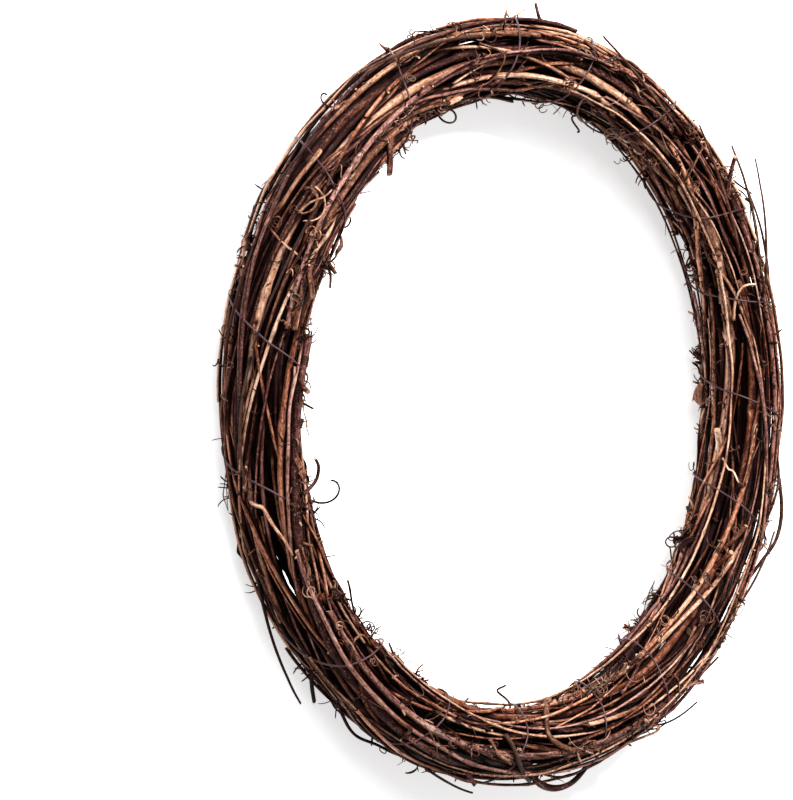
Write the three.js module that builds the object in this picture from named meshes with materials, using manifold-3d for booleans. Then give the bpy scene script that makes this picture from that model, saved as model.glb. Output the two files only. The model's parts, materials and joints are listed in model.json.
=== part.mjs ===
// A grapevine wreath: dried vine canes laid round in a ring, with the side shoots and curled tendrils that
// grow from them, bound by one thin wire wound round the bundle. It lies flat on three low points. Units
// are millimetres and +Z is up. The origin is on the surface it lies on, at the middle of its outline.
import * as THREE from "three";
import { mergeVertices } from "three/addons/utils/BufferGeometryUtils.js";
import Module from "manifold-3d";

const wasm = await Module();
wasm.setup();

// Driving dimensions.
const OUTER_DIAMETER = 300; // over the bundle, without shoots and tendrils
const BUNDLE_WIDTH = 32; // from its outer to its inner side
const BUNDLE_DEPTH = 36; // from its upper side to its underside
const RING_RADIUS = (OUTER_DIAMETER - BUNDLE_WIDTH) / 2;
const RING_OFFSET = [-0.05, -2.1]; // of the ring's middle from the outline's, which the shoots shift

// The ring is worked out round its own middle. The canes' places are at cross-sections of the bundle,
// evenly spaced round it. A place there is (out, up): out from the bundle's middle, away from the ring's
// middle, and up.
const STATIONS = 32;
const STATION_ANGLE = (2 * Math.PI) / STATIONS;

// Thick, middling and thin canes. Radii are at the butt, lengths are in stations, depth is the share of the
// way from the bundle's middle to its skin, and twist is in turns round the bundle for each turn round the
// ring.
const CANE_KINDS = [
  {
    name: "thick", count: 7, sides: 6,
    radius: [2.2, 2.75], length: [22, 29], depth: [0.6, 1.0], twist: [-0.9, 0.1],
  },
  {
    name: "middling", count: 21, sides: 5,
    radius: [1.3, 1.8], length: [21, 29], depth: [0.1, 1.0], twist: [-1.5, 0.4],
  },
  {
    name: "thin", count: 30, sides: 4,
    radius: [0.95, 1.3], length: [19, 28], depth: [0.3, 1.0], twist: [-2.3, 0.7],
  },
];
const TIP_SHARE = 0.72; // the tip's radius over the butt's
const SWAY = 0.18; // how far a cane wanders in depth
const SWIRL = 0.6; // how far it wanders round the bundle, in radians
const SWAY_WAVES = 1.5; // in the cane's length
const SWIRL_WAVES = 3;
const CANE_SEED = 17;
const GOLDEN = 0.6180339887498949; // spaces the butts evenly round the ring

// The settling of the bundle: each round parts the canes that touch, smooths them and holds them in the
// bundle. The last rounds only part them.
const SETTLING_ROUNDS = 800;
const SMOOTHING_SHARE = 0.8; // of the rounds
const CANE_GAP = 0.4;
const MOVE_SHARE = 1; // how much of its lone neighbour's push a point moves by
const CROWD_SHARE = 1.6; // and of the mean of many neighbours' pushes
const BEND_EASING = 0.35;
const ROUTE_PULL = 0.03;
const UNDERSIDE_FLATTENED = 1.2;

// The wreath stands on three canes that sag below the wire, each with a small worn flat.
const REST_STATIONS = [9, 20, 30];
const SAG_BELOW_BUNDLE = 2.6;
const SAGGING_RADIUS = 1.4; // the least radius of a cane that the wreath stands on
const STATIONS_TO_END = 2; // at the least, from a sag to either end of its cane
const WORN_DEPTH = 0.25;
const BUNDLE_HEIGHT = BUNDLE_DEPTH / 2 + SAG_BELOW_BUNDLE - WORN_DEPTH; // of its middle over the surface

// The wire. Its crossings of the upper side are in degrees round the ring. Lean is how far a crossing turns
// inwards at the ring's +X side and outwards at its -X side, in degrees round the bundle.
const WIRE_DIAMETER = 1.0;
const WIRE_SIDES = 3;
const WIRE_CROSSINGS = [97, 122, 143, 171, 193, 223, 243, 264, 285, 302, 320, 341, 361, 380, 397, 421, 440];
const CROSSING_LEAN = 46;
const WIRE_STEPS = 12; // in each turn round the bundle
const WIRE_CLEARANCE = 0.3;

// Side shoots. Each leaves the cane that lies outermost at its turn round the bundle. Lift is its angle off
// that cane and lean is which way it lifts, from 0, away from the bundle, to 90, sideways. Curl is how far
// it bends in its length, all in degrees, and a negative curl brings it back down. Roll makes the bend a
// corkscrew's. A tighten over 1 keeps the bend for the far end.
const SHOOT_KINDS = [
  {
    name: "stub", count: 14, sides: 4, steps: 2, tighten: 1, tipShare: 0.85,
    radius: [0.9, 1.4], length: [7, 17], lift: [28, 60], lean: [-50, 50], curl: [-15, 15], roll: [0, 0],
  },
  {
    name: "whip", count: 18, sides: 3, steps: 6, tighten: 1, tipShare: 0.55,
    radius: [0.65, 0.85], length: [35, 70], lift: [10, 25], lean: [-50, 50], curl: [-50, -15], roll: [-9, 9],
  },
  {
    name: "tendril", count: 12, sides: 3, steps: 10, tighten: 1.6, tipShare: 0.85,
    radius: [0.42, 0.5], length: [14, 27], lift: [25, 60], lean: [-60, 60], curl: [200, 380], roll: [20, 55],
  },
];
const SHOOT_SEED = 5000;
const SHOOT_TURNS = [-40, 220]; // round the bundle, from its outer side over the top to its inner side

// The shoots that show most, each at its own place. Ring is its angle round the ring and turn is round the
// bundle.
const SHOWY_SHOOTS = [
  { ring: -89, turn: 40, lift: 55, lean: 35, curl: -105, length: 38, radius: 1.4, tipShare: 0.8, steps: 7 },
  { ring: -58, turn: 15, lift: 16, lean: 0, curl: -6, length: 26, radius: 1.1, tipShare: 0.85, steps: 3 },
  { ring: -24, turn: 46, lift: 25, lean: 0, curl: -55, length: 34, radius: 0.7, tipShare: 0.7, steps: 6 },
  { ring: 84, turn: 20, lift: 42, lean: 0, curl: 20, length: 13, radius: 0.9, tipShare: 0.7, steps: 3 },
  { ring: 74, turn: 30, lift: 22, lean: 0, curl: -12, length: 17, radius: 0.8, tipShare: 0.8, steps: 3 },
  { ring: -126, turn: 0, lift: 12, lean: 0, curl: -35, length: 66, radius: 0.75, tipShare: 0.6, steps: 8 },
  { ring: 190, turn: 150, lift: 30, lean: 10, curl: 110, length: 14, radius: 0.6, tipShare: 0.7, steps: 5 },
  { ring: 25, turn: 165, lift: 40, lean: 0, curl: 100, length: 14, radius: 0.6, tipShare: 0.7, steps: 5 },
  { ring: 38, turn: 110, lift: 30, lean: 30, curl: 10, length: 18, radius: 1, tipShare: 0.85, steps: 3 },
  { ring: 18, turn: 75, lift: 40, lean: -20, curl: -45, length: 14, radius: 0.7, tipShare: 0.8, steps: 4 },
];
const NUDGES = [0, 1, -1, 2, -2, 3, -3, 4, -4, 5, -5, 6, -6]; // degrees that find such a shoot a clear place

const STOUT_RADIUS = 0.95; // such a shoot has four sides, and a slimmer one three

const SHOOT_CLEARANCE = 0.5;
const SHOOT_ABOVE_SURFACE = 0.6;
const PARENT_SHARE = 1.15; // a cane is at least this much thicker than its shoot
const MOST_SHOOTS = 4; // on one cane
const ROOT_DEPTH = 3; // at the most, from the bundle's skin to the cane that a shoot grows from
const STRAY_OUT = 24; // the farthest from the bundle's middle that a shoot goes, out or in
const STRAY_UP = 25;
const SAMPLE_STEP = 1.5; // between the places along a shoot or the wire where its clearance is measured

const UP = new THREE.Vector3(0, 0, 1);
const OUT = new THREE.Vector3(1, 0, 0);
const rad = THREE.MathUtils.degToRad;
const between = (range, share) => range[0] + (range[1] - range[0]) * share;

// Evenly spread draws from 0 to 1, the same each time for one seed.
function drawsFrom(seed) {
  let state = seed >>> 0;
  return () => {
    state = (state + 0x6d2b79f5) >>> 0;
    let t = state;
    t = Math.imul(t ^ (t >>> 15), t | 1);
    t ^= t + Math.imul(t ^ (t >>> 7), t | 61);
    return ((t ^ (t >>> 14)) >>> 0) / 4294967296;
  };
}

// Each cane with the route it would take alone.
function plannedCanes() {
  const draw = drawsFrom(CANE_SEED);
  const canes = [];
  for (const kind of CANE_KINDS) {
    for (let i = 0; i < kind.count; i++) {
      const steps = Math.round(between(kind.length, draw()));
      const first = Math.floor(STATIONS * ((canes.length * GOLDEN) % 1));
      const radius = between(kind.radius, draw());
      const depth = between(kind.depth, draw());
      const startTurn = 2 * Math.PI * draw();
      const twist = between(kind.twist, draw());
      const sway = SWAY * draw();
      const swayStart = 2 * Math.PI * draw();
      const swirl = SWIRL * draw();
      const swirlStart = 2 * Math.PI * draw();
      const route = [];
      const radii = [];
      for (let m = 0; m <= steps; m++) {
        const along = m / steps;
        const swirled = swirl * Math.sin(swirlStart + 2 * Math.PI * SWIRL_WAVES * along);
        const turn = startTurn + twist * STATION_ANGLE * m + swirled;
        const swayed = depth + sway * Math.sin(swayStart + 2 * Math.PI * SWAY_WAVES * along);
        const share = Math.min(1, Math.max(0, swayed));
        const [out, up] = [BUNDLE_WIDTH / 2 - radius, BUNDLE_DEPTH / 2 - radius];
        route.push([share * out * Math.cos(turn), share * up * Math.sin(turn)]);
        radii.push(radius * (1 + (TIP_SHARE - 1) * along));
      }
      canes.push({ name: `${kind.name}_cane_${i + 1}`, sides: kind.sides, first, route, radii });
    }
  }
  return canes;
}

// Every two canes that pass between the same two stations, or have a point at the same station.
function neighbours(canes) {
  const pairs = [];
  for (let s = 0; s < STATIONS; s++) {
    const here = canes
      .map((cane) => ({ cane, m: (s - cane.first + STATIONS) % STATIONS }))
      .filter(({ cane, m }) => m < cane.route.length);
    here.forEach((a, i) =>
      here.slice(i + 1).forEach((b) => {
        const span = a.m + 1 < a.cane.route.length && b.m + 1 < b.cane.route.length ? 1 : 0;
        pairs.push({ a: a.cane, i: a.m, b: b.cane, j: b.m, span });
      }),
    );
  }
  return pairs;
}

// How far each point has to move for the canes to lie a gap apart, taken where two canes come closest.
function partingMoves(canes, pairs) {
  for (const cane of canes) cane.moves = cane.route.map(() => [0, 0, 0]);
  const move = (cane, m, x, y, share) => {
    const sum = cane.moves[m];
    sum[0] += x * share;
    sum[1] += y * share;
    sum[2] += 1;
  };
  for (const { a, i, b, j, span } of pairs) {
    const x = b.route[j][0] - a.route[i][0];
    const y = b.route[j][1] - a.route[i][1];
    const dx = b.route[j + span][0] - a.route[i + span][0] - x;
    const dy = b.route[j + span][1] - a.route[i + span][1] - y;
    const length = dx * dx + dy * dy;
    const t = length > 1e-12 ? Math.min(1, Math.max(0, -(x * dx + y * dy) / length)) : 0;
    const nearX = x + t * dx;
    const nearY = y + t * dy;
    const apart = Math.sqrt(nearX * nearX + nearY * nearY) + 1e-9;
    const radii = (a.radii[i] + b.radii[j]) * (1 - t) + (a.radii[i + span] + b.radii[j + span]) * t;
    const short = radii + CANE_GAP - apart;
    if (short <= 0) continue;
    const push = short / 2 / ((1 - t) * (1 - t) + t * t) / apart;
    move(a, i, -nearX * push, -nearY * push, 1 - t);
    move(b, j, nearX * push, nearY * push, 1 - t);
    if (!span) continue;
    move(a, i + 1, -nearX * push, -nearY * push, t);
    move(b, j + 1, nearX * push, nearY * push, t);
  }
}

// For each rest station, the cane that passes nearest to straight under the bundle sags there onto the
// surface.
function chooseRestingCanes(canes) {
  for (const station of REST_STATIONS) {
    let best = null;
    for (const cane of canes) {
      const m = (station - cane.first + STATIONS) % STATIONS;
      const toEnd = Math.min(m, cane.route.length - 1 - m);
      if (cane.rests || cane.radii[0] < SAGGING_RADIUS || toEnd < STATIONS_TO_END) continue;
      const away = Math.hypot(cane.route[m][0], cane.route[m][1] + BUNDLE_DEPTH / 2);
      if (!best || away < best.away) best = { cane, m, away };
    }
    best.cane.rests = true;
    best.cane.sagsAt = best.m;
  }
}

// Keeps a point of a cane inside the bundle, or down at its sag.
function holdInBundle(cane, m) {
  const p = cane.route[m];
  if (m === cane.sagsAt) {
    p[1] = cane.radii[m] * Math.cos(Math.PI / cane.sides) - BUNDLE_DEPTH / 2 - SAG_BELOW_BUNDLE;
    return;
  }
  const out = BUNDLE_WIDTH / 2 - cane.radii[m];
  const up = BUNDLE_DEPTH / 2 - cane.radii[m];
  const share = Math.sqrt((p[0] / out) ** 2 + (p[1] / up) ** 2);
  const kept = share > 1 ? 1 / share : 1;
  p[0] *= kept;
  p[1] = Math.max(p[1] * kept, UNDERSIDE_FLATTENED - up);
}

// Lets the planned canes settle into a bundle where none touches another.
function settle(canes) {
  const pairs = neighbours(canes);
  for (const cane of canes) cane.planned = cane.route.map((p) => [...p]);
  for (let round = 0; round < SETTLING_ROUNDS; round++) {
    const ease = Math.max(0, 1 - round / (SMOOTHING_SHARE * SETTLING_ROUNDS));
    partingMoves(canes, pairs);
    for (const cane of canes) {
      cane.route.forEach((p, m) => {
        const [x, y, count] = cane.moves[m];
        const share = count ? CROWD_SHARE / (count + CROWD_SHARE - MOVE_SHARE) : 0;
        p[0] += x * share;
        p[1] += y * share;
      });
      const before = cane.route.map((p) => [...p]);
      cane.route.forEach((p, m) => {
        for (const axis of [0, 1]) {
          if (m > 0 && m < cane.route.length - 1) {
            const middle = (before[m - 1][axis] + before[m + 1][axis]) / 2;
            p[axis] += BEND_EASING * ease * (middle - before[m][axis]);
          }
          p[axis] += ROUTE_PULL * ease * (cane.planned[m][axis] - p[axis]);
        }
        holdInBundle(cane, m);
      });
    }
  }
}

// The canes' places and radii at any angle round the ring. The canes are straight between stations, so
// between them they lie nearer to the ring's middle.
function placesAt(canes, ringAngle) {
  const turns = ringAngle / (2 * Math.PI);
  const at = (turns - Math.floor(turns)) * STATIONS;
  const s = Math.floor(at);
  const t = at - s;
  const chord = RING_RADIUS * (1 - Math.cos(STATION_ANGLE / 2)) * 4 * t * (1 - t);
  const places = [];
  for (const cane of canes) {
    const m = (s - cane.first + STATIONS) % STATIONS;
    if (m > cane.route.length - 2) continue;
    const [a, b] = [cane.route[m], cane.route[m + 1]];
    places.push({
      cane,
      out: a[0] + (b[0] - a[0]) * t - chord,
      up: a[1] + (b[1] - a[1]) * t,
      radius: cane.radii[m] + (cane.radii[m + 1] - cane.radii[m]) * t,
    });
  }
  return places;
}

// How far the canes reach from the bundle's middle in a direction, a turn round the bundle.
function reachOf(places, turn) {
  const x = Math.cos(turn);
  const y = Math.sin(turn);
  let reach = 0;
  for (const p of places) reach = Math.max(reach, p.out * x + p.up * y + p.radius);
  return reach;
}

// A point from its angle round the ring and its place in the bundle.
function pointAt(ringAngle, out, up) {
  const radius = RING_RADIUS + out;
  return new THREE.Vector3(radius * Math.cos(ringAngle), radius * Math.sin(ringAngle), up);
}

// A point's angle round the ring and its place in the bundle.
function placeOf(point) {
  const ringAngle = Math.atan2(point.y, point.x);
  return { ringAngle, out: Math.sqrt(point.x * point.x + point.y * point.y) - RING_RADIUS, up: point.z };
}

// A round rod: a cylinder whose cross-sections are moved to the sections of its route. Each section has a
// centre, a radius and two directions, where across x along = over.
function rodThrough(sections, sides) {
  const steps = sections.length - 1;
  const facetDown = sides % 2 ? 0 : Math.PI / sides;
  const rod = new THREE.CylinderGeometry(1, 1, steps, sides, steps, false, facetDown);
  const position = rod.getAttribute("position");
  const point = new THREE.Vector3();
  for (let i = 0; i < position.count; i++) {
    const { centre, radius, across, over } = sections[Math.round(position.getY(i) + steps / 2)];
    point.copy(centre);
    point.addScaledVector(across, radius * position.getX(i));
    point.addScaledVector(over, radius * position.getZ(i));
    position.setXYZ(i, point.x, point.y, point.z);
  }
  rod.deleteAttribute("normal");
  rod.deleteAttribute("uv");
  return mergeVertices(rod);
}

// Sections square to a line of points, turned as little as the line allows.
function sectionsAlong(points, radiusAt) {
  const across = new THREE.Vector3();
  return points.map((centre, i) => {
    const next = points[Math.min(i + 1, points.length - 1)];
    const along = next.clone().sub(points[Math.max(i - 1, 0)]).normalize();
    if (i === 0) across.copy(Math.abs(along.z) < 0.9 ? UP : OUT);
    across.addScaledVector(along, -across.dot(along)).normalize();
    const radius = radiusAt(i / (points.length - 1));
    return { centre, radius, across: across.clone(), over: across.clone().cross(along) };
  });
}

function caneGeometry(cane) {
  const sections = cane.route.map(([out, up], m) => {
    const ringAngle = STATION_ANGLE * (cane.first + m);
    return {
      centre: pointAt(ringAngle, out, up),
      radius: cane.radii[m],
      across: new THREE.Vector3(Math.cos(ringAngle), Math.sin(ringAngle), 0),
      over: UP,
    };
  });
  return rodThrough(sections, cane.sides);
}

// The wire's points: from underneath, once round the bundle for each crossing, and underneath again. Each
// point lies beyond the canes' reach half a step before it and half a step after it, so that the straight
// wire between two points clears them all, the canes that begin or end there too.
function wirePoints(canes) {
  const knots = WIRE_CROSSINGS.map((ring, k) => {
    return { ring, turn: 360 * k + 90 + CROSSING_LEAN * Math.cos(rad(ring)) };
  });
  const last = knots.length - 2;
  const at = (turns) => {
    const k = Math.min(last, Math.max(0, Math.floor(turns)));
    const share = turns - k;
    const ringAngle = rad(between([knots[k].ring, knots[k + 1].ring], share));
    return { ringAngle, turn: rad(between([knots[k].turn, knots[k + 1].turn], share)) };
  };
  const points = [];
  for (let i = -WIRE_STEPS / 2; i <= (last + 1.5) * WIRE_STEPS; i++) {
    const { ringAngle, turn } = at(i / WIRE_STEPS);
    let reach = 0;
    for (const side of [-1, -0.5, 0, 0.5, 1]) {
      const places = placesAt(canes, at((i + side) / WIRE_STEPS).ringAngle);
      for (const half of [-0.5, 0.5]) {
        reach = Math.max(reach, reachOf(places, at((i + half) / WIRE_STEPS).turn));
      }
    }
    reach = (reach + WIRE_DIAMETER / 2 + WIRE_CLEARANCE) / Math.cos(Math.PI / WIRE_STEPS);
    points.push(pointAt(ringAngle, reach * Math.cos(turn), reach * Math.sin(turn)));
  }
  return points;
}

// The cane that lies outermost in a direction.
function outermost(places, turn) {
  const x = Math.cos(turn);
  const y = Math.sin(turn);
  const reach = (p) => p.out * x + p.up * y + p.radius;
  return places.reduce((best, p) => (reach(p) > reach(best) ? p : best));
}

// A shoot's points, from the middle of its cane. Its heading turns about one line.
function shootPoints(shoot, root) {
  const ringAngle = rad(shoot.ring);
  const turn = Math.atan2(root.up, root.out);
  const start = pointAt(ringAngle, root.out, root.up);
  const along = new THREE.Vector3(-Math.sin(ringAngle), Math.cos(ringAngle), 0);
  const away = pointAt(ringAngle, Math.cos(turn), Math.sin(turn)).sub(pointAt(ringAngle, 0, 0));
  const sideways = along.clone().cross(away);
  const lean = rad(shoot.lean);
  const lifted = away.multiplyScalar(Math.cos(lean)).addScaledVector(sideways, Math.sin(lean));
  const heading = along.clone().multiplyScalar(Math.cos(rad(shoot.lift)));
  heading.addScaledVector(lifted, Math.sin(rad(shoot.lift)));
  const roll = rad(shoot.roll ?? 0);
  const axis = along.clone().cross(lifted).multiplyScalar(Math.cos(roll));
  axis.addScaledVector(lifted, Math.sin(roll));
  const points = [start];
  for (let i = 0; i < shoot.steps; i++) {
    const bent = rad(shoot.curl) * ((i + 0.5) / shoot.steps) ** (shoot.tighten ?? 1);
    const step = heading.clone().applyAxisAngle(axis, bent).multiplyScalar(shoot.length / shoot.steps);
    points.push(points[i].clone().add(step));
  }
  return points;
}

// Places along a line of points, close enough together to measure clearances at.
function samplesAlong(points, radius) {
  const samples = [];
  for (let i = 0; i < points.length - 1; i++) {
    const count = Math.ceil(points[i].distanceTo(points[i + 1]) / SAMPLE_STEP);
    for (let k = 0; k <= count; k++) {
      samples.push({ point: points[i].clone().lerp(points[i + 1], k / count), radius });
    }
  }
  return samples;
}

// Whether a shoot stays clear of the other canes, the wire, the other shoots and the surface, and near the
// bundle.
function isClear(samples, parent, canes, taken) {
  return samples.every(({ point, radius }) => {
    const { ringAngle, out, up } = placeOf(point);
    if (up < radius + SHOOT_ABOVE_SURFACE - BUNDLE_HEIGHT) return false;
    if (Math.abs(out) > STRAY_OUT || up > STRAY_UP) return false;
    const clearOfCanes = placesAt(canes, ringAngle).every((p) => {
      return p.cane === parent || Math.hypot(p.out - out, p.up - up) > p.radius + radius + SHOOT_CLEARANCE;
    });
    if (!clearOfCanes) return false;
    return taken.every((t) => t.point.distanceTo(point) > t.radius + radius + SHOOT_CLEARANCE);
  });
}

// The outermost cane that can carry the shoot, or null where the bundle's skin has none.
function rootOf(shoot, canes) {
  const places = placesAt(canes, rad(shoot.ring));
  const turn = rad(shoot.turn);
  const able = places.filter(({ cane, radius }) => {
    return radius >= shoot.radius * PARENT_SHARE && cane.shoots.length < MOST_SHOOTS;
  });
  if (able.length === 0) return null;
  const root = outermost(able, turn);
  return reachOf(places, turn) - reachOf([root], turn) > ROOT_DEPTH ? null : root;
}

// Grows the shoot if it has a clear place, and says whether it does.
function growIfClear(shoot, canes, taken) {
  const root = rootOf(shoot, canes);
  if (!root) return false;
  const points = shootPoints(shoot, root);
  const samples = samplesAlong(points, shoot.radius);
  if (!isClear(samples, root.cane, canes, taken)) return false;
  root.cane.shoots.push({ shoot, points });
  taken.push(...samples);
  return true;
}

// The showy shoots first, then the rest of each kind wherever their draws find a clear place.
function growShoots(canes, wire) {
  for (const cane of canes) cane.shoots = [];
  const taken = samplesAlong(wire, WIRE_DIAMETER / 2);
  for (const shoot of SHOWY_SHOOTS) {
    const sides = shoot.radius < STOUT_RADIUS ? 3 : 4;
    NUDGES.some((nudge) => growIfClear({ ...shoot, sides, ring: shoot.ring + nudge }, canes, taken));
  }
  let seed = SHOOT_SEED;
  for (const kind of SHOOT_KINDS) {
    for (let grown = 0; grown < kind.count; seed++) {
      const draw = drawsFrom(seed);
      const shoot = { ...kind, ring: 360 * draw(), turn: between(SHOOT_TURNS, draw()) };
      for (const key of ["radius", "length", "lift", "lean", "curl", "roll"]) {
        shoot[key] = between(kind[key], draw());
      }
      if (growIfClear(shoot, canes, taken)) grown++;
    }
  }
}

function solidFrom(geometry) {
  const vertProperties = new Float32Array(geometry.getAttribute("position").array);
  const triVerts = new Uint32Array(geometry.index.array);
  return new wasm.Manifold(new wasm.Mesh({ numProp: 3, vertProperties, triVerts }));
}

function geometryFrom(solid) {
  const mesh = solid.getMesh();
  const geometry = new THREE.BufferGeometry();
  geometry.setAttribute("position", new THREE.BufferAttribute(mesh.vertProperties, 3));
  geometry.setIndex(new THREE.BufferAttribute(mesh.triVerts, 1));
  return geometry;
}

// Everything under the surface that the wreath lies on.
function ground() {
  const size = 2 * OUTER_DIAMETER;
  const block = new THREE.BoxGeometry(size, size, BUNDLE_DEPTH);
  block.translate(0, 0, -BUNDLE_HEIGHT - BUNDLE_DEPTH / 2);
  block.deleteAttribute("normal");
  block.deleteAttribute("uv");
  return solidFrom(mergeVertices(block));
}

// A cane with its shoots joined on and, where it rests, its worn flat.
function finishedCane(cane) {
  let solid = solidFrom(caneGeometry(cane));
  for (const { shoot, points } of cane.shoots) {
    const radiusAt = (share) => shoot.radius * between([1, shoot.tipShare], share);
    solid = solid.add(solidFrom(rodThrough(sectionsAlong(points, radiusAt), shoot.sides)));
  }
  if (cane.rests) solid = solid.subtract(ground());
  return geometryFrom(solid);
}

const BARKS = [
  { color: 0x8f5a36, roughness: 0.7 },
  { color: 0x5f3f38, roughness: 0.75 },
  { color: 0x7d4027, roughness: 0.6 },
];

function addCanes(ring, canes) {
  canes.forEach((cane, i) => {
    const bark = new THREE.MeshStandardMaterial(BARKS[i % BARKS.length]);
    const mesh = new THREE.Mesh(finishedCane(cane), bark);
    mesh.name = cane.name;
    ring.add(mesh);
  });
}

function addWire(ring, points) {
  const coated = new THREE.MeshStandardMaterial({ color: 0x3a2228, roughness: 0.45, metalness: 0.3 });
  const sections = sectionsAlong(points, () => WIRE_DIAMETER / 2);
  const mesh = new THREE.Mesh(rodThrough(sections, WIRE_SIDES), coated);
  mesh.name = "binding_wire";
  ring.add(mesh);
}

const canes = plannedCanes();
chooseRestingCanes(canes);
settle(canes);
const wire = wirePoints(canes);
growShoots(canes, wire);

const ring = new THREE.Group();
ring.position.set(...RING_OFFSET, BUNDLE_HEIGHT);
addCanes(ring, canes);
addWire(ring, wire);

const wreath = new THREE.Group();
wreath.add(ring);
export default wreath;
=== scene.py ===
import json
import math
from collections import namedtuple
from types import SimpleNamespace

import bpy
import numpy as np
from mathutils import Matrix, Vector


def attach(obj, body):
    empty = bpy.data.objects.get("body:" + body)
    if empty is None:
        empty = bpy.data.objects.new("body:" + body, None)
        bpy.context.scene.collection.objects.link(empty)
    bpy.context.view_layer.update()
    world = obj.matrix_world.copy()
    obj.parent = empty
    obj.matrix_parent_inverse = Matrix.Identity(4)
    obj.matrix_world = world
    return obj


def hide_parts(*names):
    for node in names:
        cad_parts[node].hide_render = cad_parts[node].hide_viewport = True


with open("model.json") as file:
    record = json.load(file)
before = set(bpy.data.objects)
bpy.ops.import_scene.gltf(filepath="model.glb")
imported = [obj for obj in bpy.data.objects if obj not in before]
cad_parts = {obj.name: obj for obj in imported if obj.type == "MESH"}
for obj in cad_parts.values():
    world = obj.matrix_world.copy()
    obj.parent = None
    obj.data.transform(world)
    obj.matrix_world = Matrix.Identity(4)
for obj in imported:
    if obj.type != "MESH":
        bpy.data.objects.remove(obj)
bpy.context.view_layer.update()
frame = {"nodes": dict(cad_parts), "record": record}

# The dressed grapevine wreath. Lengths are in millimetres, and become metres where a mesh is made.
# Places are worked out round the ring's own middle: an angle round the ring, and then (out, up)
# from the middle of the bundle there. A turn is an angle about the bundle, from outwards to upwards.
# The values here have their angles in degrees.
MM = 0.001
FULL_TURN = 2 * math.pi
OUTER_DIAMETER = 300
BUNDLE_WIDTH = 32
BUNDLE_DEPTH = 36
BUNDLE_HALVES = np.array([BUNDLE_WIDTH, BUNDLE_DEPTH]) / 2
RING_RADIUS = (OUTER_DIAMETER - BUNDLE_WIDTH) / 2
RING_MIDDLE = np.array([-0.05, -2.1, 20.35])
BUNDLE_HEIGHT = RING_MIDDLE[2]
STATIONS = 32
STATION_ANGLE = FULL_TURN / STATIONS
STATION_TOLERANCE = 0.002
CORNER_TOLERANCE = 0.02

# The canes: the sides of the solid and of the dressed cane, the step between its rings of corners, the
# depth of the bark's ridges, the spacing of the leaf nodes and the sideways kink there, in what length and
# how far it wanders, the slant of its cut ends and how much of the solid's radius it has
CANE_SHARE = 0.93
RING_STEP = 2.2
CANE = dict(step=RING_STEP, wander=(16, 0.2), slant=0.7, share=CANE_SHARE)
CANE_KINDS = {
    "thick": dict(CANE, solid_sides=6, sides=12, ridge=0.07, knots=(45, 90), kink=0.4),
    "middling": dict(CANE, solid_sides=5, sides=9, ridge=0.06, knots=(30, 70), kink=0.5),
    "thin": dict(CANE, solid_sides=4, sides=7, ridge=0.05, knots=(22, 50), kink=0.6),
}

# The solids' wire, the angles round the ring where it crosses the side that the photo shows, and how far
# that side is turned from the top
WIRE_DIAMETER = 1.0
WIRE_CROSSINGS = [97, 122, 143, 171, 193, 223, 243, 264, 285, 302, 320, 341, 361, 380, 397, 421, 440]
CROSSING_LEAN = 46
WIRE_STEPS = 12
WIRE_CLEARANCE = 0.3


def rows_of(keys, *rows):
    return [dict(zip(keys, row)) for row in rows]


# The side shoots that the solids have: stubs, whips and tendrils, with spans to draw from. The lift is from
# the cane's way, the lean is sideways, the curl is the bend in all, and the roll takes it out of one plane.
SPREAD_KEYS = ["radius", "length", "lift", "lean", "curl", "roll"]
SHOOT_KEYS = ["count", "steps", "tighten", "tip_share"] + SPREAD_KEYS
SHOOT_KINDS = rows_of(
    SHOOT_KEYS,
    (14, 2, 1, 0.85, (0.9, 1.4), (7, 17), (28, 60), (-50, 50), (-15, 15), (0, 0)),
    (18, 6, 1, 0.55, (0.65, 0.85), (35, 70), (10, 25), (-50, 50), (-50, -15), (-9, 9)),
    (12, 10, 1.6, 0.85, (0.42, 0.5), (14, 27), (25, 60), (-60, 60), (200, 380), (20, 55)),
)
SHOOT_SEED = 5000
SHOOT_TURNS = (-40, 220)
SHOWY_SHOOTS = rows_of(
    ["ring", "turn", "lift", "lean", "curl", "length", "radius", "tip_share", "steps"],
    (-89, 40, 55, 35, -105, 38, 1.4, 0.8, 7),
    (-24, 46, 25, 0, -55, 34, 0.7, 0.7, 6),
    (84, 20, 42, 0, 20, 13, 0.9, 0.7, 3),
    (74, 30, 22, 0, -12, 17, 0.8, 0.8, 3),
    (-126, 0, 12, 0, -35, 66, 0.75, 0.6, 8),
    (25, 165, 40, 0, 100, 14, 0.6, 0.7, 5),
    (38, 110, 30, 30, 10, 18, 1, 0.85, 3),
    (18, 75, 40, -20, -45, 14, 0.7, 0.8, 4),
)
NUDGES = [0, 1, -1, 2, -2, 3, -3, 4, -4, 5, -5, 6, -6]
SHOOT_CLEARANCE = 0.5
SHOOT_ABOVE_SURFACE = 0.6
PARENT_SHARE = 1.15
MOST_SHOOTS = 4
ROOT_DEPTH = 3
STRAY_OUT = 24
STRAY_UP = 25
SAMPLE_STEP = 1.5


def between(span, share):
    return span[0] + (span[1] - span[0]) * share


def draws_from(seed):
    """Evenly spread draws from 0 to 1, the same as the solids' own for one seed."""
    mask = 0xFFFFFFFF
    state = seed & mask

    def draw():
        nonlocal state
        state = (state + 0x6D2B79F5) & mask
        t = ((state ^ (state >> 15)) * (state | 1)) & mask
        t ^= (t + (((t ^ (t >> 7)) * (t | 61)) & mask)) & mask
        return (t ^ (t >> 14)) / 4294967296

    return draw


# Places round the ring
def round_a_turn(count):
    """So many angles, evenly round a whole turn."""
    return FULL_TURN * np.arange(count) / count


def ring_angles_of(points):
    return np.arctan2(points[:, 1], points[:, 0])


def places_of(points):
    """The (out, up) of points."""
    return np.column_stack([np.hypot(points[:, 0], points[:, 1]) - RING_RADIUS, points[:, 2]])


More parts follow.
